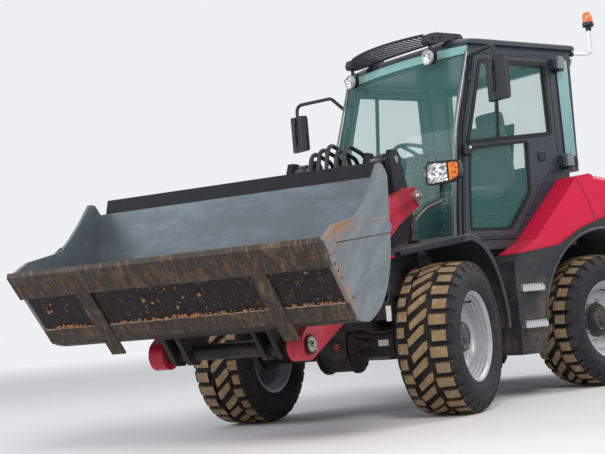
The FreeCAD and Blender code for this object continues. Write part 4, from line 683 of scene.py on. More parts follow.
def make_headlamps():
    for name, side in SIDES:
        case = rounded(sided(side, ((0.534, 1.41), (0.71, 1.418), (0.758, 1.442), (0.77, 1.47),
                                    (0.769, 1.535), (0.755, 1.554), (0.544, 1.56))), 0.034, 5)
        divider = sided(side, ((0.6825, 1.424), (0.6905, 1.424), (0.6885, 1.553), (0.6815, 1.553)))
        mesh = bmesh.new()
        for outline, low, high in ((inward(case, 0.012), 0.722, 0.745), (case, 0.745, 0.79),
                                   (inward(case, 0.036), 0.7, 0.722), (divider, 0.7905, 0.801)):
            prism(mesh, outline, low, high, FRONT, "X")
        ring_slab(mesh, case, 0.011, 0.79, 0.803, FRONT, "X")
        pipe(mesh, sided(side, ((1.15, 0.56, 1.052), (1.15, 0.562, 1.13), (1.12, 0.567, 1.18),
                                (0.96, 0.585, 1.26), (0.82, 0.595, 1.292), (0.745, 0.6, 1.315),
                                (0.724, 0.606, 1.36), (0.722, 0.61, 1.427))), 0.017, 16, FRONT)
        lathe(mesh, ((0, 0), (0, 0.036), (0.01, 0.036), (0.012, 0.026), (0.04, 0.022), (0.04, 0)), 20,
              FRONT @ moved(1.15, side * 0.56, 1.0515), "Z")
        solid(f"headlamp_case_{name}", mesh, "black_gloss", "front_frame", smooth=32.0,
              replaces="headlamps" if side > 0 else None)
        inner = inward(case, 0.0125)
        clear = clipped(inner, side, 0.5, 0.6805)
        mesh = bmesh.new()
        prism(mesh, clear, 0.7895, 0.7915, FRONT, "X")
        for across, up, size in ((0.58, 1.487, 0.047), (0.648, 1.5, 0.026)):
            seat = FRONT @ moved(0.7915, side * across, up)
            lathe(mesh, ((0.0, size * 0.2), (0.002, size * 0.55), (0.0075, size * 0.92), (0.0085, size),
                         (0.0, size * 1.02)), 28, seat, "X")
            lathe(mesh, ((0.0, 0.0), (0.0, size * 0.22), (0.008, size * 0.2), (0.011, 0.0)), 16, seat, "X", 1)
        prism(mesh, clipped(inner, side, 0.6925, 0.8), 0.7895, 0.7975, FRONT, "X", 2)
        lathe(mesh, ((0.0, 0.0), (0.0, 0.024), (0.003, 0.022), (0.0045, 0.012), (0.005, 0.0)), 24,
              FRONT @ moved(0.7975, side * 0.724, 1.492), "X", 2)
        solid(f"headlamp_reflector_{name}", mesh, "reflector pin_steel lens_amber", "front_frame",
              smooth=30.0)
        mesh = bmesh.new()
        prism(mesh, clear, 0.8005, 0.8025, FRONT, "X")
        solid(f"headlamp_lens_{name}", mesh, "lens_clear", "front_frame", smooth=30.0)


# Work lamps, front and rear, and the beacon

LAMP_LEVEL = 2.345


def make_work_lamps():
    for end, back, across, facing, top in (("front", -0.055, 0.43, 0, 2.4395),
                                           ("rear", -1.172, 0.56, 180, 2.3995)):
        for hand, side in SIDES:
            place = REAR @ moved(back, side * across, LAMP_LEVEL) @ turned("Z", facing)
            mesh = bmesh.new()
            lathe(mesh, ((0.0, 0.0), (0.0, 0.024), (0.004, 0.03), (0.012, 0.04), (0.03, 0.049),
                         (0.052, 0.0515), (0.052, 0.046), (0.047, 0.0)), 36, place, "X")
            for step in range(5):
                at = 0.01 + 0.007 * step
                size = 0.0405 + 0.002 * step
                lathe(mesh, ((at, size - 0.004), (at, size + 0.0035), (at + 0.0025, size + 0.0035),
                             (at + 0.0025, size - 0.004)), 32, place, "X")
            lathe(mesh, ((0.05, 0.046), (0.05, 0.053), (0.064, 0.053), (0.07, 0.05), (0.07, 0.044),
                         (0.062, 0.0425)), 40, place, "X", 1)
            lathe(mesh, ((0.049, 0.008), (0.052, 0.02), (0.058, 0.034), (0.064, 0.044), (0.048, 0.044),
                         (0.048, 0.008)), 36, place, "X", 2)
            lathe(mesh, ((0.048, 0.0), (0.048, 0.009), (0.06, 0.008), (0.063, 0.0)), 16, place, "X", 1)
            for flank in (-0.053, 0.053):
                slab(mesh, (0.018, flank - 0.003, -0.01), (0.034, flank + 0.003, 0.058), place)
            slab(mesh, (0.018, -0.056, 0.053), (0.034, 0.056, 0.059), place)
            slab(mesh, (0.02, -0.012, 0.059), (0.034, 0.012, top - LAMP_LEVEL), place)
            solid(f"work_lamp_{end}_{hand}", mesh, "black_gloss rim_silver reflector", "rear_frame",
                  smooth=30.0, replaces="work_lamps" if facing == 0 and side > 0 else None)
            mesh = bmesh.new()
            lathe(mesh, ((0.0655, 0.0), (0.0655, 0.0425), (0.0672, 0.0425), (0.069, 0.02), (0.0695, 0.0)), 36,
                  place, "X")
            solid(f"work_lamp_lens_{end}_{hand}", mesh, "lens_clear", "rear_frame", smooth=30.0)


def make_beacon():
    base = REAR @ moved(-1.39, 0.67)
    mesh = bmesh.new()
    pipe(mesh, ((-1.176, 0.64, 2.385), (-1.27, 0.653, 2.385), (-1.345, 0.664, 2.385), (-1.384, 0.669, 2.4),
                (-1.39, 0.67, 2.44), (-1.39, 0.67, 2.52), (-1.39, 0.67, 2.596)), 0.013, 18, REAR, 10)
    lathe(mesh, ((2.56, 0.0125), (2.56, 0.019), (2.572, 0.021), (2.584, 0.021), (2.588, 0.0125)), 24,
          base, "Z", 1)
    lathe(mesh, ((2.588, 0.0), (2.588, 0.034), (2.594, 0.041), (2.6, 0.042), (2.618, 0.042), (2.622, 0.04),
                 (2.622, 0.0)), 40, base, "Z", 1)
    slab(mesh, (-1.19, 0.622, 2.372), (-1.166, 0.658, 2.3995), REAR, 1)
    lathe(mesh, ((-0.012, 0.012), (-0.012, 0.022), (0.012, 0.022), (0.012, 0.012)), 24,
          REAR @ moved(-1.2, 0.6433, 2.385), "X", 1)
    solid("beacon_post_and_base", mesh, "chrome_rod black_gloss", "rear_frame", smooth=30.0,
          replaces="beacon")
    mesh = bmesh.new()
    profile = ((2.6225, 0.0375), (2.628, 0.0378), (2.66, 0.0368), (2.68, 0.0345), (2.692, 0.029),
               (2.698, 0.018), (2.7, 0.0))
    rings = []
    for step, (x, y) in enumerate(around(60, 1.0)):
        rib = 1.0 if step % 3 else 0.965
        rings.append([mesh.verts.new(base @ Vector((out * rib * x, out * rib * y, up)))
                      for up, out in profile])
    skin(mesh, rings + rings[:1], wrap=False)
    mesh.faces.new([ring[0] for ring in reversed(rings)])
    bmesh.ops.remove_doubles(mesh, verts=mesh.verts, dist=1e-5)
    solid("beacon_dome", mesh, "beacon_orange", "rear_frame", smooth=60.0)


# Slatted visor: roof cover, cheeks, bowed rails, and slats between them

VISOR_HALF = 0.392
VISOR_LEVEL = 2.47
SLATS = 18


def make_visor():
    def bowed(across, bow):
        return bow * (1 - (across / VISOR_HALF) ** 2)

    def raised(outline):
        return [(a, VISOR_LEVEL + up) for a, up in outline]

    mesh = bmesh.new()
    cover = rounded(raised(((-0.54, 0.0005), (-0.455, 0.014), (-0.24, 0.014), (-0.212, 0.0005))), 0.006, 3)
    prism(mesh, cover, -0.46, 0.46, REAR)
    for side in (-1, 1):
        cheek = rounded(raised(((-0.335, 0.002), (-0.3, 0.05), (-0.07, 0.05), (0.0, 0.036), (0.016, -0.008),
                                (0.006, -0.03), (-0.09, -0.03), (-0.198, 0.002))), 0.014, 3)
        prism(mesh, cheek, *span(side, 0.39, 0.46), REAR)
        for ahead, up in ((-0.26, 0.02), (-0.11, 0.02), (-0.04, 0.006)):
            bolt(mesh, (ahead, side * 0.46, VISOR_LEVEL + up), (0, side, 0), 0.007, REAR, 1)
        slab(mesh, (-0.06, side * 0.43 - 0.026, VISOR_LEVEL - 0.034),
             (0.004, side * 0.43 + 0.026, VISOR_LEVEL - 0.029), REAR)
    for back, bow, up, size in ((-0.01, 0.075, 0.04, 0.0085), (-0.196, 0.018, 0.014, 0.0075)):
        stations = [-VISOR_HALF + 2 * VISOR_HALF * step / 24 for step in range(25)]
        line = [(back + bowed(across, bow), across, VISOR_LEVEL + up) for across in stations]
        pipe(mesh, line, size, 8, REAR, 1, 1)
    for index in range(SLATS):
        across = -0.375 + 0.75 * (index + 0.5) / SLATS
        rear, front = -0.2 + bowed(across, 0.018), -0.008 + bowed(across, 0.075)
        prism(mesh, raised(((rear, 0.009), (rear, 0.02), (front, 0.046), (front, 0.035))),
              across - 0.0035, across + 0.0035, REAR, "Y", 1)
    solid("slatted_visor", mesh, "dark_plastic black_gloss", "rear_frame", smooth=32.0, replaces="sun_visor")


# Mirror faces and their brackets

def make_mirror_faces():
    def plate(low, high, inner, outer, radius):
        return rounded(sided(side, ((inner, low), (outer, low), (outer, high), (inner, high))), radius)

    for name, side in SIDES:
        mesh = bmesh.new()
        prism(mesh, plate(1.945, 2.185, 1.01, 1.162, 0.02), -0.004, -0.0015, REAR, "X")
        ring_slab(mesh, plate(1.932, 2.198, 1.006, 1.166, 0.022), 0.007, -0.007, -0.0005, REAR, "X", 1)
        across = side * 1.085
        for up in (2.15, 2.02):
            slab(mesh, (0.0575, across - 0.016, up - 0.014), (0.066, across + 0.016, up + 0.014), REAR, 1)
        pipe(mesh, ((0.052, across, 2.19), (0.068, across, 2.16), (0.07, across, 2.06),
                    (0.062, across, 1.99)), 0.009, 12, REAR, 6, 1)
        solid(f"mirror_face_{name}", mesh, "mirror_face black_gloss", "rear_frame",
              smooth=30.0)


# Door trim: seals, latch, catch, hinges

UPPER_PANE = [(-0.06, 1.72), (-0.88, 1.79), (-0.872, 2.29), (-0.245, 2.29), (-0.1, 1.824)]
LOWER_PANE = [(-0.02, 1.13), (-0.4, 1.13), (-0.62, 1.375), (-0.64, 1.74), (-0.075, 1.69), (-0.028, 1.279)]
DOOR_LINE = [(0.05, 1.068), (-0.44, 1.068), (-0.845, 1.52), (-0.948, 1.524), (-0.93, 2.345),
             (-0.205, 2.345), (-0.04, 1.824), (0.03, 1.279)]
HINGE_LEVELS = (1.59, 2.285)


def rectangle(back, ahead, low, high):
    return [(back, low), (ahead, low), (ahead, high), (back, high)]


def make_door_trim(name, base):
    body = f"door_{name}"
    mesh = bmesh.new()
    ring_slab(mesh, rounded(inward(UPPER_PANE, -0.012), 0.035), 0.028, 0.6525, 0.6738, base)
    ring_slab(mesh, rounded(inward(LOWER_PANE, -0.004), 0.03), 0.018, 0.6525, 0.6722, base)
    ring_slab(mesh, rounded(inward(DOOR_LINE, 0.01), 0.03, 3), 0.006, 0.6695, 0.6712, base)
    solid(f"door_seals_{name}", mesh, "seal_rubber", body, smooth=30.0)
    mesh = bmesh.new()
    prism(mesh, rounded([(0.0, 1.64), (-0.072, 1.632), (-0.078, 1.69), (-0.062, 1.706), (-0.004, 1.704)],
                        0.012, 3), 0.6705, 0.7, base)
    lathe(mesh, ((0.7, 0.0), (0.7, 0.009), (0.7035, 0.0085), (0.7045, 0.0)), 16,
          base @ moved(-0.056, 0, 1.684), "Y", 1)
    catch = base @ moved(-0.76, 0, 1.63)
    lathe(mesh, ((0.6705, 0.0), (0.6705, 0.038), (0.676, 0.038), (0.679, 0.034), (0.679, 0.029),
                 (0.675, 0.027), (0.675, 0.0)), 36, catch)
    lathe(mesh, ((0.675, 0.0), (0.675, 0.024), (0.677, 0.0235), (0.6775, 0.0)), 32, catch, "Y", 2)
    slab(mesh, (-0.766, 0.6765, 1.613), (-0.754, 0.6795, 1.647), base)
    solid(f"door_latch_{name}", mesh, "black_gloss white_plate slate_paint", body,
          smooth=30.0)
    mesh = bmesh.new()
    for level in HINGE_LEVELS:
        prism(mesh, rounded(rectangle(-1.018, -0.952, 0.697, 0.742), 0.012, 3), level - 0.036,
              level + 0.0385, base, "Z")
        prism(mesh, rounded(rectangle(-1.01, -0.96, 0.703, 0.736), 0.01, 3), level - 0.0385, level - 0.036,
              base, "Z", 1)
        for up in (-0.018, 0.018):
            bolt(mesh, (-0.942, 0.6705, level + up), (0, 1, 0), 0.0065, base, 1)
    solid(f"hinge_covers_{name}", mesh, "hinge_grey black_gloss", body, bevel=0.002)


def make_pillar_trim(name, base):
    mesh = bmesh.new()
    for level in HINGE_LEVELS:
        for low, high, material in ((-0.053, -0.0395, 0), (0.0395, 0.053, 1)):
            prism(mesh, rounded(rectangle(-1.008, -0.962, 0.6605, 0.738), 0.012, 3), level + low,
                  level + high, base, "Z", material)
    prism(mesh, [(-1.012, 1.64), (-1.128, 1.632), (-1.128, 2.33), (-1.005, 2.33)], 0.6602, 0.664, base,
          "Y", 2)
    ring_slab(mesh, [(-1.006, 1.632), (-1.134, 1.624), (-1.134, 2.338), (-0.999, 2.338)], 0.009,
              0.6602, 0.666, base)
    for row in range(3):
        slab(mesh, (-1.136, 0.6602, 1.566 + row * 0.018), (-1.04, 0.668, 1.576 + row * 0.018), base)
    lathe(mesh, ((0.6602, 0.0), (0.6602, 0.007), (0.6635, 0.006), (0.6645, 0.0)), 16,
          base @ moved(-1.09, 0, 1.54), "Y", 3)
    solid(f"rear_pillar_trim_{name}", mesh, "black_gloss hinge_grey quarter_glass lens_red", "rear_frame",
          smooth=30.0)
    # The windscreen pillar's lighter grey is a painted highlight band.
    for kind, material, slot, across, radius, sides, steps, line in (
            ("pillar", "pillar_gloss", "slate_paint", 0.652, 0.017, 14, 8, (
                (0.1215, 1.01), (0.111, 1.15), (0.0965, 1.285), (0.056, 1.56), (0.008, 1.84),
                (-0.069, 2.08), (-0.156, 2.345))),
            ("seal", "seal_rubber", "hose_rubber", 0.672, 0.007, 8, 6, (
                (0.104, 1.03), (0.093, 1.15), (0.08, 1.285), (0.038, 1.56), (-0.012, 1.835),
                (-0.09, 2.08), (-0.17, 2.33)))):
        mesh = bmesh.new()
        pipe(mesh, [(ahead, across, up) for ahead, up in line], radius, sides, base, steps)
        solid(f"windscreen_{kind}_{name}", mesh, material, "rear_frame", smooth=50.0)


# Operator's seat: base, suspension, and padded cushions

def cushion(name, size, place, crown_height, channels=()):
    """A crowned pad with rounded sides and sewn channels across it."""
    mesh = bmesh.new()
    bmesh.ops.create_cube(mesh, size=2.0)
    bmesh.ops.subdivide_edges(mesh, edges=mesh.edges[:], cuts=11, use_grid_fill=True)
    half = Vector(size) / 2
    for vert in mesh.verts:
        spot = vert.co.copy()
        spot = spot / sum(abs(c) ** 5 for c in spot) ** 0.2
        reach = max(0.0, (1 - spot.x ** 2)) * max(0.0, (1 - spot.y ** 2))
        out = Vector((spot.x * half.x, spot.y * half.y, spot.z * half.z))
        side_pull = 1.0 - 0.03 * (1 - abs(spot.z)) * 0.5
        out.x *= side_pull
        out.y *= side_pull
        if spot.z > 0:
            out.z += crown_height * reach
            for where in channels:
                out.z -= 0.009 * math.exp(-((spot.x - where) / 0.035) ** 2)
            for where in (-0.62, 0.62):
                out.z -= 0.009 * math.exp(-((spot.y - where) / 0.045) ** 2)
        vert.co = out
    piece = solid(name, mesh, "seat_fabric", "rear_frame", smooth=60.0, place=place)


def make_seat():
    mesh = bmesh.new()
    for step in range(6):
        grow = 0.0 if step % 2 else 0.016
        low = 1.06 + step * 0.052
        slab(mesh, (-0.84 - grow, -0.15 - grow, low), (-0.52 + grow, 0.15 + grow, low + 0.05), REAR)
    slab(mesh, (-0.88, -0.19, 1.052), (-0.48, 0.19, 1.064), REAR)
    slab(mesh, (-0.86, -0.215, 1.372), (-0.45, 0.215, 1.392), REAR)
    solid("seat_base", mesh, "soft_black", "rear_frame", bevel=0.006,
          replaces="operator_seat")
    for kind, size, ahead, up, lean, high, channels in (
            ("cushion", (0.44, 0.47, 0.085), -0.635, 1.432, 4, 0.018, (-0.45, 0.0, 0.45)),
            ("backrest", (0.52, 0.45, 0.08), -0.905, 1.7, -80, 0.018, (-0.5, 0.0, 0.5)),
            ("headrest", (0.15, 0.26, 0.07), -0.958, 1.985, -80, 0.012, ())):
        cushion(f"seat_{kind}", size, REAR @ moved(ahead, 0, up) @ turned("Y", lean), high, channels)
    mesh = bmesh.new()
    slab(mesh, (-0.006, -0.205, -0.25), (0.01, 0.205, 0.25), REAR @ moved(-0.962, 0, 1.7) @ turned("Y", -10))
    solid("seat_back_shell", mesh, "soft_black", "rear_frame", bevel=0.006)


# Bucket: side plates with their bands, floor and rolled back, wear plates and straps

SIDE_INNER = 0.903
BUCKET_BACK = ((0.0, 0.0), (-0.032, 0.004), (-0.08, 0.034), (-0.148, 0.116), (-0.179, 0.312),
               (-0.106, 0.519), (0.037, 0.681), (0.194, 0.84))
BUCKET_FRONT = ((0.294, 0.375), (0.275, 0.47), (0.275, 0.562), (0.283, 0.68), (0.3, 0.804))
STRAP = ((0.304, -0.0005), (-0.128, -0.0005), (-0.135, -0.004), (-0.135, -0.0115), (0.304, -0.0115))
WEAR_PLATE = ((0.066, -0.0002), (-0.028, -0.0002), (-0.028, -0.008), (0.062, -0.008))


def make_bucket():
    back = [tuple(p) for p in smooth_line(BUCKET_BACK, 8, (0.06, 0.01))]
    front = [tuple(p) for p in smooth_line(BUCKET_FRONT, 5, (0.415, 0.152))]
    outline = [(0.448, 0.0), (0.415, 0.152)] + front + [(0.27, 0.836)] + back[::-1]
    mesh = bmesh.new()
    for low, high in ((SIDE_INNER, 0.925), (-0.925, -SIDE_INNER)):
        prism(mesh, outline, low, high, BUCKET)
    shell = [(0.448, 0.0), (0.3, 0.0), (0.15, 0.0)] + back
    inner = []
    for i, spot in enumerate(shell):
        way = (Vector(shell[min(i + 1, len(shell) - 1)]) - Vector(shell[max(i - 1, 0)])).normalized()
        inner.append((spot[0] + way.y * 0.014, spot[1] - way.x * 0.014))
    outer_low, outer_high, inner_low, inner_high = (
        loop_of(mesh, line, level, BUCKET, "Y")
        for line in (shell, inner) for level in (-SIDE_INNER, SIDE_INNER))
    skin(mesh, (outer_low, outer_high), 1, wrap=False)
    skin(mesh, (inner_low, inner_high), wrap=False)
    for i in (0, -1):
        mesh.faces.new((outer_low[i], outer_high[i], inner_high[i], inner_low[i]))
    band = ((0.352, 0.105), (0.406, 0.112), (0.294, 0.375), (0.284, 0.44), (0.061, 0.655), (0.005, 0.665),
            (-0.012, 0.628))
    corner = ((0.354, 0.004), (0.447, 0.004), (0.422, 0.118), (0.402, 0.108), (0.322, 0.092))
    for side in (-1, 1):
        for line in (band, corner):
            prism(mesh, line, *span(side, 0.9245, 0.93), BUCKET)
    solid("bucket_body", mesh, "bucket_paint bucket_under", "bucket", smooth=32.0, replaces="bucket")
    mesh = bmesh.new()
    for side in (-1, 1):
        prism(mesh, STRAP, *span(side, 0.482, 0.57), BUCKET)
    prism(mesh, WEAR_PLATE, -0.915, 0.915, BUCKET)
    solid("floor_wear_plates", mesh, "worn_steel", "bucket", smooth=25.0, replaces="wear_straps")


# Bucket: welds, black discs and lines of painted shade on the side plates, rusted bolts and caked earth

EDGE_BOLTS = 12
EARTH_LUMPS = 150
WELD_SPANS = ((-0.9, -0.574), (-0.478, 0.478), (0.574, 0.9))


def make_bucket_details():
    mesh = bmesh.new()
    for side in (-1, 1):
        for line, radius, steps in (
                (((0.196, 0.462), (0.15, 0.53), (0.104, 0.592), (0.061, 0.65)), 0.0035, 8),
                (((0.322, 0.094), (0.4, 0.108)), 0.0025, 2)):
            pipe(mesh, [(ahead, side * 0.9305, up) for ahead, up in line], radius, 8, BUCKET, steps)
    solid("bucket_weld_lines", mesh, "weld_bead", "bucket", smooth=50.0)
    # Black discs for holes and black lines along the edges of the proud band and corner plate: painted shade and
    # painted shadow.
    mesh = bmesh.new()
    for side in (-1, 1):
        for ahead, up in ((0.291, 0.018), (0.247, 0.02), (0.2, 0.024), (0.06, 0.045)):
            lathe(mesh, ((side * 0.9248, 0.0), (side * 0.9248, 0.0075), (side * 0.9262, 0.0068),
                         (side * 0.9262, 0.0)), 14, BUCKET @ moved(ahead, 0, up))
        for line, level, radius, steps in (
                (((0.35, 0.108), (0.262, 0.234), (0.12, 0.439), (-0.018, 0.638)), 0.9255, 0.0042, 4),
                (((0.322, 0.088), (0.352, 0.006)), 0.9258, 0.003, 2)):
            pipe(mesh, [(ahead, side * level, up) for ahead, up in line], radius, 8, BUCKET, steps)
    solid("bucket_side_painted_shade", mesh, "soft_black", "bucket", smooth=50.0)
    mesh = bmesh.new()
    pitch = (1.85 - 0.14) / (EDGE_BOLTS - 1)
    rand = random.Random(7)
    for index in range(EDGE_BOLTS):
        seat = BUCKET @ moved(0.367, -0.855 + pitch * index, 0)
        lathe(mesh, ((-0.003, 0.0), (-0.019, 0.0), (-0.0205, 0.004), (-0.0205, 0.01), (-0.003, 0.0106)), 20,
              seat, "Z")
        rings = []
        for x, y in around(24, 1.0):
            grow = 0.0145 + 0.005 * rand.random()
            rings.append([mesh.verts.new(seat @ Vector((r * x, r * y, z)))
                          for r, z in ((0.0112, -0.0219), (0.0135, -0.0236), (grow * 0.8, -0.0232),
                                       (grow, -0.0221))])
        skin(mesh, rings + rings[:1], wrap=False)
    solid("cutting_edge_bolts", mesh, "rust", "bucket", smooth=50.0)
    mesh = bmesh.new()
    for low, high in WELD_SPANS:
        count = int((high - low) / 0.015)
        line = [(0.068 + rand.uniform(-0.0015, 0.0015), low + (high - low) * step / count,
                 -0.002 + rand.uniform(-0.001, 0.001)) for step in range(count + 1)]
        pipe(mesh, line, 0.0038, 6, BUCKET, 1)
    solid("floor_weld_lines", mesh, "weld_bead", "bucket", smooth=60.0)
    mesh = bmesh.new()
    for index in range(EARTH_LUMPS):
        low, high = WELD_SPANS[(0, 1, 1, 1, 2)[index % 5]]
        across = low + (high - low) * (rand.random() if index % 2 else 0.25 + 0.5 * rand.random())
        size = 0.0035 + 0.008 * rand.random() ** 2
        ahead = 0.071 + rand.uniform(0.0, 0.014) if index % 6 else rand.uniform(0.08, 0.28)
        spot = BUCKET @ Vector((ahead, across, -size * 0.35))
        made = bmesh.ops.create_icosphere(mesh, subdivisions=2, radius=size, matrix=Matrix.Translation(spot))
        for vert in made["verts"]:
            vert.co = spot + (vert.co - spot) * rand.uniform(0.75, 1.25)
    solid("caked_earth", mesh, "caked_earth", "bucket", smooth=80.0)


# Linkage: pin heads

def make_linkage_details():
    level = 0.4905
    for name, place, body in (("boom_pivot", PIVOT_FRAME, "front_frame"),
                              ("hitch", HITCH_FRAME, "hitch_shaft")):
        mesh = bmesh.new()
        for side in (-1, 1):
            seat = place @ mirrored(side)
            lathe(mesh, ((level, 0.0), (level, 0.04), (level + 0.004, 0.038), (level + 0.004, 0.0)), 32, seat)
            bolt(mesh, (0, level + 0.004, 0), (0, 1, 0), 0.018, seat)
            for ahead, up in ((0.034, 0.024), (-0.034, -0.024)):
                bolt(mesh, (ahead, level - 0.0005, up), (0, 1, 0), 0.008, seat)
        solid(f"{name}_pin_heads", mesh, "pin_steel", body, smooth=30.0)


# Mudguards and side bodies

def arc(middle, radius, level, start, sweep, steps):
    """Points round an axle, along the edge of what covers its wheel."""
    angles = [math.radians(start + sweep * step / steps) for step in range(steps + 1)]
    return [(middle + radius * math.cos(a), level, TYRE_RADIUS + radius * math.sin(a)) for a in angles]


def make_mudguard_rim(mesh, base):
    """The folded edge along the mudguard's front, with its hollow towards the wheel."""
    line = [Vector(p) for p in (
        (1.04, 0.8755, 1.06), (1.085, 0.875, 1.059), (1.11, 0.869, 1.055), (1.15, 0.826, 1.047),
        (1.2, 0.769, 1.037), (1.29, 0.664, 1.019), (1.374, 0.566, 1.001))]
    sections = []
    for index, here in enumerate(line):
        way = line[min(index + 1, len(line) - 1)] - line[max(index - 1, 0)]
        inner = Vector((way.y, -way.x, 0)).normalized()
        if inner.y > 0:
            inner = -inner
        sections.append([mesh.verts.new(base @ (here + inner * inset + Vector((0, 0, down))))
                         for inset, down in ((0.012, 0.001), (0.002, -0.001), (-0.002, -0.008),
                                             (-0.002, -0.03), (0.002, -0.036), (0.012, -0.036))])
    skin(mesh, sections)
    cap(mesh, sections)


def make_fender_trim():
    for name, side in SIDES:
        base = FRONT @ mirrored(side)
        mesh = bmesh.new()
        line = arc(FRONT_AXLE, 0.605, 0.875, 178, -88, 18)[:-1] + [
            (1.075, 0.872, 1.06), (1.11, 0.852, 1.053), (1.15, 0.815, 1.045), (1.29, 0.655, 1.017),
            (1.376, 0.556, 1.0)]
        pipe(mesh, line, 0.0085, 10, base, 3)
        solid(f"mudguard_lip_{name}", mesh, "plastic_lip", "front_frame", smooth=50.0)
        mesh = bmesh.new()
        make_mudguard_rim(mesh, base)
        solid(f"mudguard_front_rim_{name}", mesh, "dark_plastic", "front_frame", smooth=50.0)
        mesh = bmesh.new()
        for ahead, up in ((0.965, 0.992), (1.07, 1.004), (1.185, 0.99)):
            lathe(mesh, ((0.4912, 0.0), (0.4912, 0.018), (0.4955, 0.0165), (0.4955, 0.009), (0.4935, 0.008),
                         (0.4935, 0.0)), 20, base @ moved(ahead, 0, up))
        for low, high, material in (((1.4005, 0.505, 0.955), (1.418, 0.545, 0.985), 0),
                                    ((1.418, 0.509, 0.971), (1.421, 0.541, 0.983), 1),
                                    ((1.418, 0.509, 0.957), (1.421, 0.541, 0.969), 2),
                                    ((1.4, 0.452, 0.59), (1.404, 0.484, 0.68), 3)):
            slab(mesh, low, high, base, material)
        pipe(mesh, ((1.402, 0.484, 0.985), (1.404, 0.484, 0.86), (1.404, 0.48, 0.74), (1.404, 0.462, 0.69)),
             0.007, 8, base, 6, 4)
        solid(f"mudguard_fittings_{name}", mesh, "seal_rubber lens_clear lens_red white_plate plastic_lip",
              "front_frame", smooth=30.0)
        mesh = bmesh.new()
        pipe(mesh, arc(REAR_AXLE, 0.637, 0.8665, 2, 163, 28), 0.011, 10, REAR @ mirrored(side), 1)
        solid(f"side_body_lip_{name}", mesh, "plastic_lip", "rear_frame", smooth=50.0)


# Panel seams and the steps' teeth

def make_panel_details():
    for name, side in SIDES:
        base = REAR @ mirrored(side)
        mesh = bmesh.new()
        outline = smooth_line(((-0.882, 1.452), (-0.938, 1.38), (-0.985, 1.3), (-1.018, 1.222),
                               (-1.035, 1.16)), 4)
        ahead = [(a + 0.0035, u) for a, u in outline]
        back = [(a - 0.0035, u) for a, u in outline[::-1]]
        prism(mesh, ahead + back, 0.8475, 0.8488, base)
        lathe(mesh, ((0.8478, 0.0), (0.8478, 0.006), (0.85, 0.005), (0.8505, 0.0)), 14,
              base @ moved(-0.33, 0, 1.045))
        solid(f"side_panel_seam_{name}", mesh, "seal_rubber", "rear_frame", smooth=30.0)
        mesh = bmesh.new()
        for level in (0.5, 0.74):
            slab(mesh, (-0.412, 0.8682, level - 0.041), (-0.204, 0.909, level - 0.01), base)
            for index in range(9):
                spot = -0.212 - index * 0.0215
                tooth = [(spot, level - 0.0105), (spot - 0.017, level - 0.0105),
                         (spot - 0.013, level + 0.006), (spot - 0.004, level + 0.006)]
                for out in (0.874, 0.894):
                    prism(mesh, tooth, out, out + 0.013, base)
                prism(mesh, [(spot, level - 0.038), (spot - 0.014, level - 0.038),
                             (spot - 0.011, level - 0.045), (spot - 0.003, level - 0.045)],
                      0.903, 0.9105, base)
        solid(f"step_treads_{name}", mesh, "step_steel", "rear_frame", smooth=25.0,
              replaces="steps" if side > 0 else None)


def make_window_dividers():
    bar = ((-0.364, 1.7475), (-0.38, 1.749), (-0.428, 2.2895), (-0.412, 2.2895))
    for name, side in SIDES:
        mesh = bmesh.new()
        for low, high in ((0.6335, 0.644), (0.652, 0.659)):
            prism(mesh, bar, *span(side, low, high), REAR)
        solid(f"door_window_divider_{name}", mesh, "seal_rubber", f"door_{name}",
              smooth=30.0)


# Roof panel: its section across, and the share of its crown at places along it

ROOF_LOW = 2.419


def make_roof():
    half = ((0.69, 2.4003), (0.69, 2.426), (0.684, 2.434), (0.664, 2.44), (0.56, 2.462), (0.5, 2.47),
            (0.0, 2.47))
    section = half + tuple((-y, z) for y, z in half[-2::-1])
    mesh = bmesh.new()
    sections = []
    for ahead, share in ((-1.188, 0.0), (-1.184, 0.5), (-1.168, 1.0), (-0.7, 1.0), (-0.25, 1.0),
                         (-0.19, 0.88), (-0.16, 0.4), (-0.15, 0.0)):
        line = [(across, up if up < 2.401 else ROOF_LOW + (up - ROOF_LOW) * share) for across, up in section]
        sections.append(loop_of(mesh, line, ahead, REAR, "X"))
    skin(mesh, sections)
    cap(mesh, sections)
    solid("roof_panel", mesh, "slate_paint", "rear_frame", smooth=32.0, replaces="roof")


# Front axle: flanges with bolts, ribs, hoses and the drive's flange

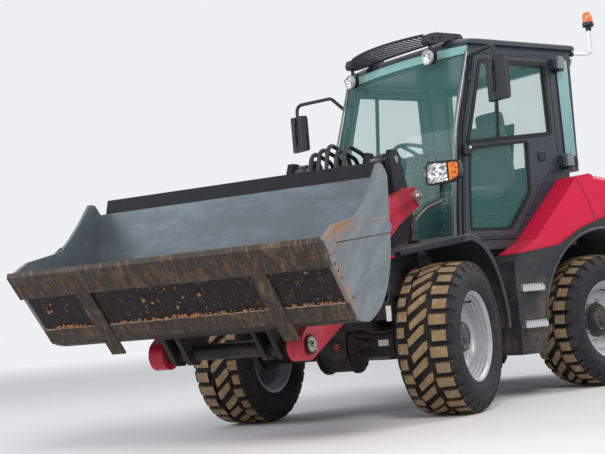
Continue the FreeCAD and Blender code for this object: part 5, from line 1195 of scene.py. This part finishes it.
def make_axle_details():
    seat = FRONT @ moved(FRONT_AXLE, 0, TYRE_RADIUS)
    mesh = bmesh.new()
    for low, high in ((-0.14, -0.122), (0.064, 0.082)):
        lathe(mesh, ((low, 0.15), (low, 0.176), (low + 0.002, 0.179), (high - 0.002, 0.179), (high, 0.176),
                     (high, 0.15)), 56, seat)
    for x, z in around(14, 0.1665):
        bolt(mesh, (x, 0.082, z), (0, 1, 0), 0.0085, seat, washer=False)
        bolt(mesh, (x, -0.14, z), (0, -1, 0), 0.0085, seat, washer=False)
    rib = ((0.12, 0.08), (0.12, 0.128), (0.135, 0.126), (0.225, 0.094), (0.344, 0.089), (0.344, 0.08))
    for side in (-1, 1):
        turn = seat @ mirrored(side)
        lathe(mesh, ((0.345, 0.08), (0.345, 0.094), (0.349, 0.098), (0.362, 0.098), (0.366, 0.094),
                     (0.366, 0.08)), 40, turn)
        for angle in (25, 155, 205, 335):
            out = Vector((math.cos(math.radians(angle)), 0, math.sin(math.radians(angle))))
            flat = out.cross(Vector((0, 1, 0))).normalized() * 0.006
            loops = [[mesh.verts.new(turn @ (out * up + Vector((0, along, 0)) + move)) for along, up in rib]
                     for move in (flat, -flat)]
            cap(mesh, loops)
            skin(mesh, loops)
        pipe(mesh, ((0.052, 0.13, 0.115), (0.074, 0.2, 0.078), (0.08, 0.3, 0.068), (0.07, 0.38, 0.084)),
             0.007, 10, turn)
    drive = seat @ moved(0, 0.02, 0)
    lathe(mesh, ((0.16, 0.0), (0.16, 0.034), (0.172, 0.032), (0.176, 0.022), (0.176, 0.0)), 24, drive, "X")
    lathe(mesh, ((0.1765, 0.007), (0.1765, 0.016), (0.18, 0.0165), (0.184, 0.013), (0.184, 0.009),
                 (0.18, 0.007)), 24, drive, "X", 1)
    slab(mesh, (0.083, 0.262, -0.018), (0.0905, 0.33, 0.02), seat, 2)
    solid("front_axle_fittings", mesh, "cast_iron lens_red white_plate", "front_frame", smooth=30.0)


def make_tail_lamps():
    mesh = bmesh.new()
    for side in (-1, 1):
        seat = REAR @ moved(0, side * 0.44)
        slab(mesh, (-2.308, -0.056, 0.878), (-2.3002, 0.056, 0.952), seat)
        for low, high, material in ((-0.05, -0.018, 3), (-0.015, 0.015, 1), (0.018, 0.05, 2)):
            prism(mesh, rounded(sided(side, rectangle(low, high, 0.885, 0.945)), 0.006, 3), -2.3125, -2.308,
                  seat, "X", material)
    solid("tail_lamp_clusters", mesh, "black_gloss lens_red lens_amber lens_clear", "rear_frame",
          smooth=30.0, replaces="rear_lamps")


make_tyres()
make_rims()
make_headlamps()
make_work_lamps()
make_beacon()
make_visor()
make_mirror_faces()
for hand_name, hand_side in SIDES:
    make_door_trim(hand_name, REAR @ mirrored(hand_side))
    make_pillar_trim(hand_name, REAR @ mirrored(hand_side))
make_seat()
make_bucket()
make_bucket_details()
make_linkage_details()
make_fender_trim()
make_panel_details()
make_window_dividers()
make_roof()
make_axle_details()
make_tail_lamps()


# Materials of the CAD nodes, by their slots apart from three of them

OTHER_LOOKS = {"boom": "arm_paint", "screen_frame": "screen_band", "spill_guard": "soft_black"}
NODE_SLOTS = {part.get("node", part.get("name")): part.get("material_slot")
              for part in frame["record"].get("subparts", [])}

for node_name, thing in frame["nodes"].items():
    look = OTHER_LOOKS.get(node_name, NODE_SLOTS.get(node_name) or "black_steel")
    for socket in thing.material_slots:
        socket.material = MATERIALS[look]


# Floor, light and camera

PALE = (0.9, 0.92, 0.94, 1.0)
PALE_STRENGTH = 0.95


def make_stage():
    mesh = bmesh.new()
    bmesh.ops.create_circle(mesh, cap_ends=True, radius=120.0, segments=96)
    data = bpy.data.meshes.new("floor")
    mesh.to_mesh(data)
    mesh.free()
    floor = bpy.data.objects.new("floor", data)
    bpy.context.collection.objects.link(floor)
    shade = Shade("floor_pale", (0.72, 0.72, 0.71), 0.9).tint((0.6, 4), 0.3, (0.68, 0.68, 0.67))
    away = shade.node("ShaderNodeVectorMath", {0: shade.place}, operation="LENGTH").outputs["Value"]
    far = shade.step(away, 7.0, 26.0)
    glow = shade.node("ShaderNodeEmission", {"Color": PALE, "Strength": PALE_STRENGTH}).outputs[0]
    mixed = shade.node("ShaderNodeMixShader", {0: shade.times(far, direct_rays(shade.tree)),
                                               1: shade.shader.outputs[0], 2: glow}).outputs[0]
    shade.tree.links.new(mixed, shade.tree.nodes["Material Output"].inputs["Surface"])
    data.materials.append(MATERIALS["floor_pale"])


def make_world():
    world = bpy.data.worlds.new("studio")
    world.use_nodes = True
    bpy.context.scene.world = world
    tree = world.node_tree
    tree.nodes.clear()
    soft, pale = (add_node(tree, "ShaderNodeBackground", {"Color": color, "Strength": strength}).outputs[0]
                  for color, strength in (((0.86, 0.9, 0.95, 1), 0.62), (PALE, PALE_STRENGTH)))
    mix = add_node(tree, "ShaderNodeMixShader", {0: direct_rays(tree), 1: soft, 2: pale}).outputs[0]
    add_node(tree, "ShaderNodeOutputWorld", {0: mix})


def make_light(name, spot, aim, size, power, color=(1, 1, 1)):
    lamp = bpy.data.lights.new(name, "AREA")
    lamp.shape = "DISK"
    lamp.size = size
    lamp.energy = power
    lamp.color = color
    holder = bpy.data.objects.new(name, lamp)
    bpy.context.collection.objects.link(holder)
    holder.location = spot
    holder.rotation_euler = (Vector(aim) - Vector(spot)).to_track_quat("-Z", "Y").to_euler()


# The photograph's camera: place from the centre joint on the ground, view angles, focal length in pixels
CAMERA = dict(place=(5.875, 6.836, 0.672), yaw=53.807, pitch=3.943, roll=-4.991, focal=1276.84,
              middle=(301.9, 226.4))
FRAME_SIZE = (605, 454)
SENSOR = 36.0


def make_camera():
    camera = bpy.data.cameras.new("camera")
    holder = bpy.data.objects.new("camera", camera)
    bpy.context.collection.objects.link(holder)
    yaw, pitch, roll = (math.radians(CAMERA[k]) for k in ("yaw", "pitch", "roll"))
    ahead = Vector((-math.cos(yaw) * math.cos(pitch), -math.sin(yaw) * math.cos(pitch), math.sin(pitch)))
    right = ahead.cross(Vector((0, 0, 1))).normalized()
    up = right.cross(ahead)
    across = right * math.cos(roll) + up * math.sin(roll)
    above = -right * math.sin(roll) + up * math.cos(roll)
    turn = Matrix((across, above, -ahead)).transposed().to_4x4()
    holder.matrix_world = REAR @ Matrix.Translation(CAMERA["place"]) @ turn
    camera.sensor_width = SENSOR
    camera.lens = CAMERA["focal"] / FRAME_SIZE[0] * SENSOR
    camera.shift_x = (FRAME_SIZE[0] / 2 - CAMERA["middle"][0]) / FRAME_SIZE[0]
    camera.shift_y = (CAMERA["middle"][1] - FRAME_SIZE[1] / 2) / FRAME_SIZE[0]
    camera.clip_end = 300.0
    bpy.context.scene.camera = holder


make_stage()
make_world()
make_light("key", (6.0, 9.0, 8.0), (0, 0, 1.0), 5.0, 900.0, (1.0, 0.97, 0.93))
make_light("fill", (9.0, -4.0, 5.0), (0, 0, 1.0), 6.0, 420.0, (0.93, 0.96, 1.0))
make_light("back", (-8.0, 3.0, 7.0), (0, 0, 1.2), 5.0, 420.0)
make_camera()
bpy.context.scene.view_settings.view_transform = "Standard"
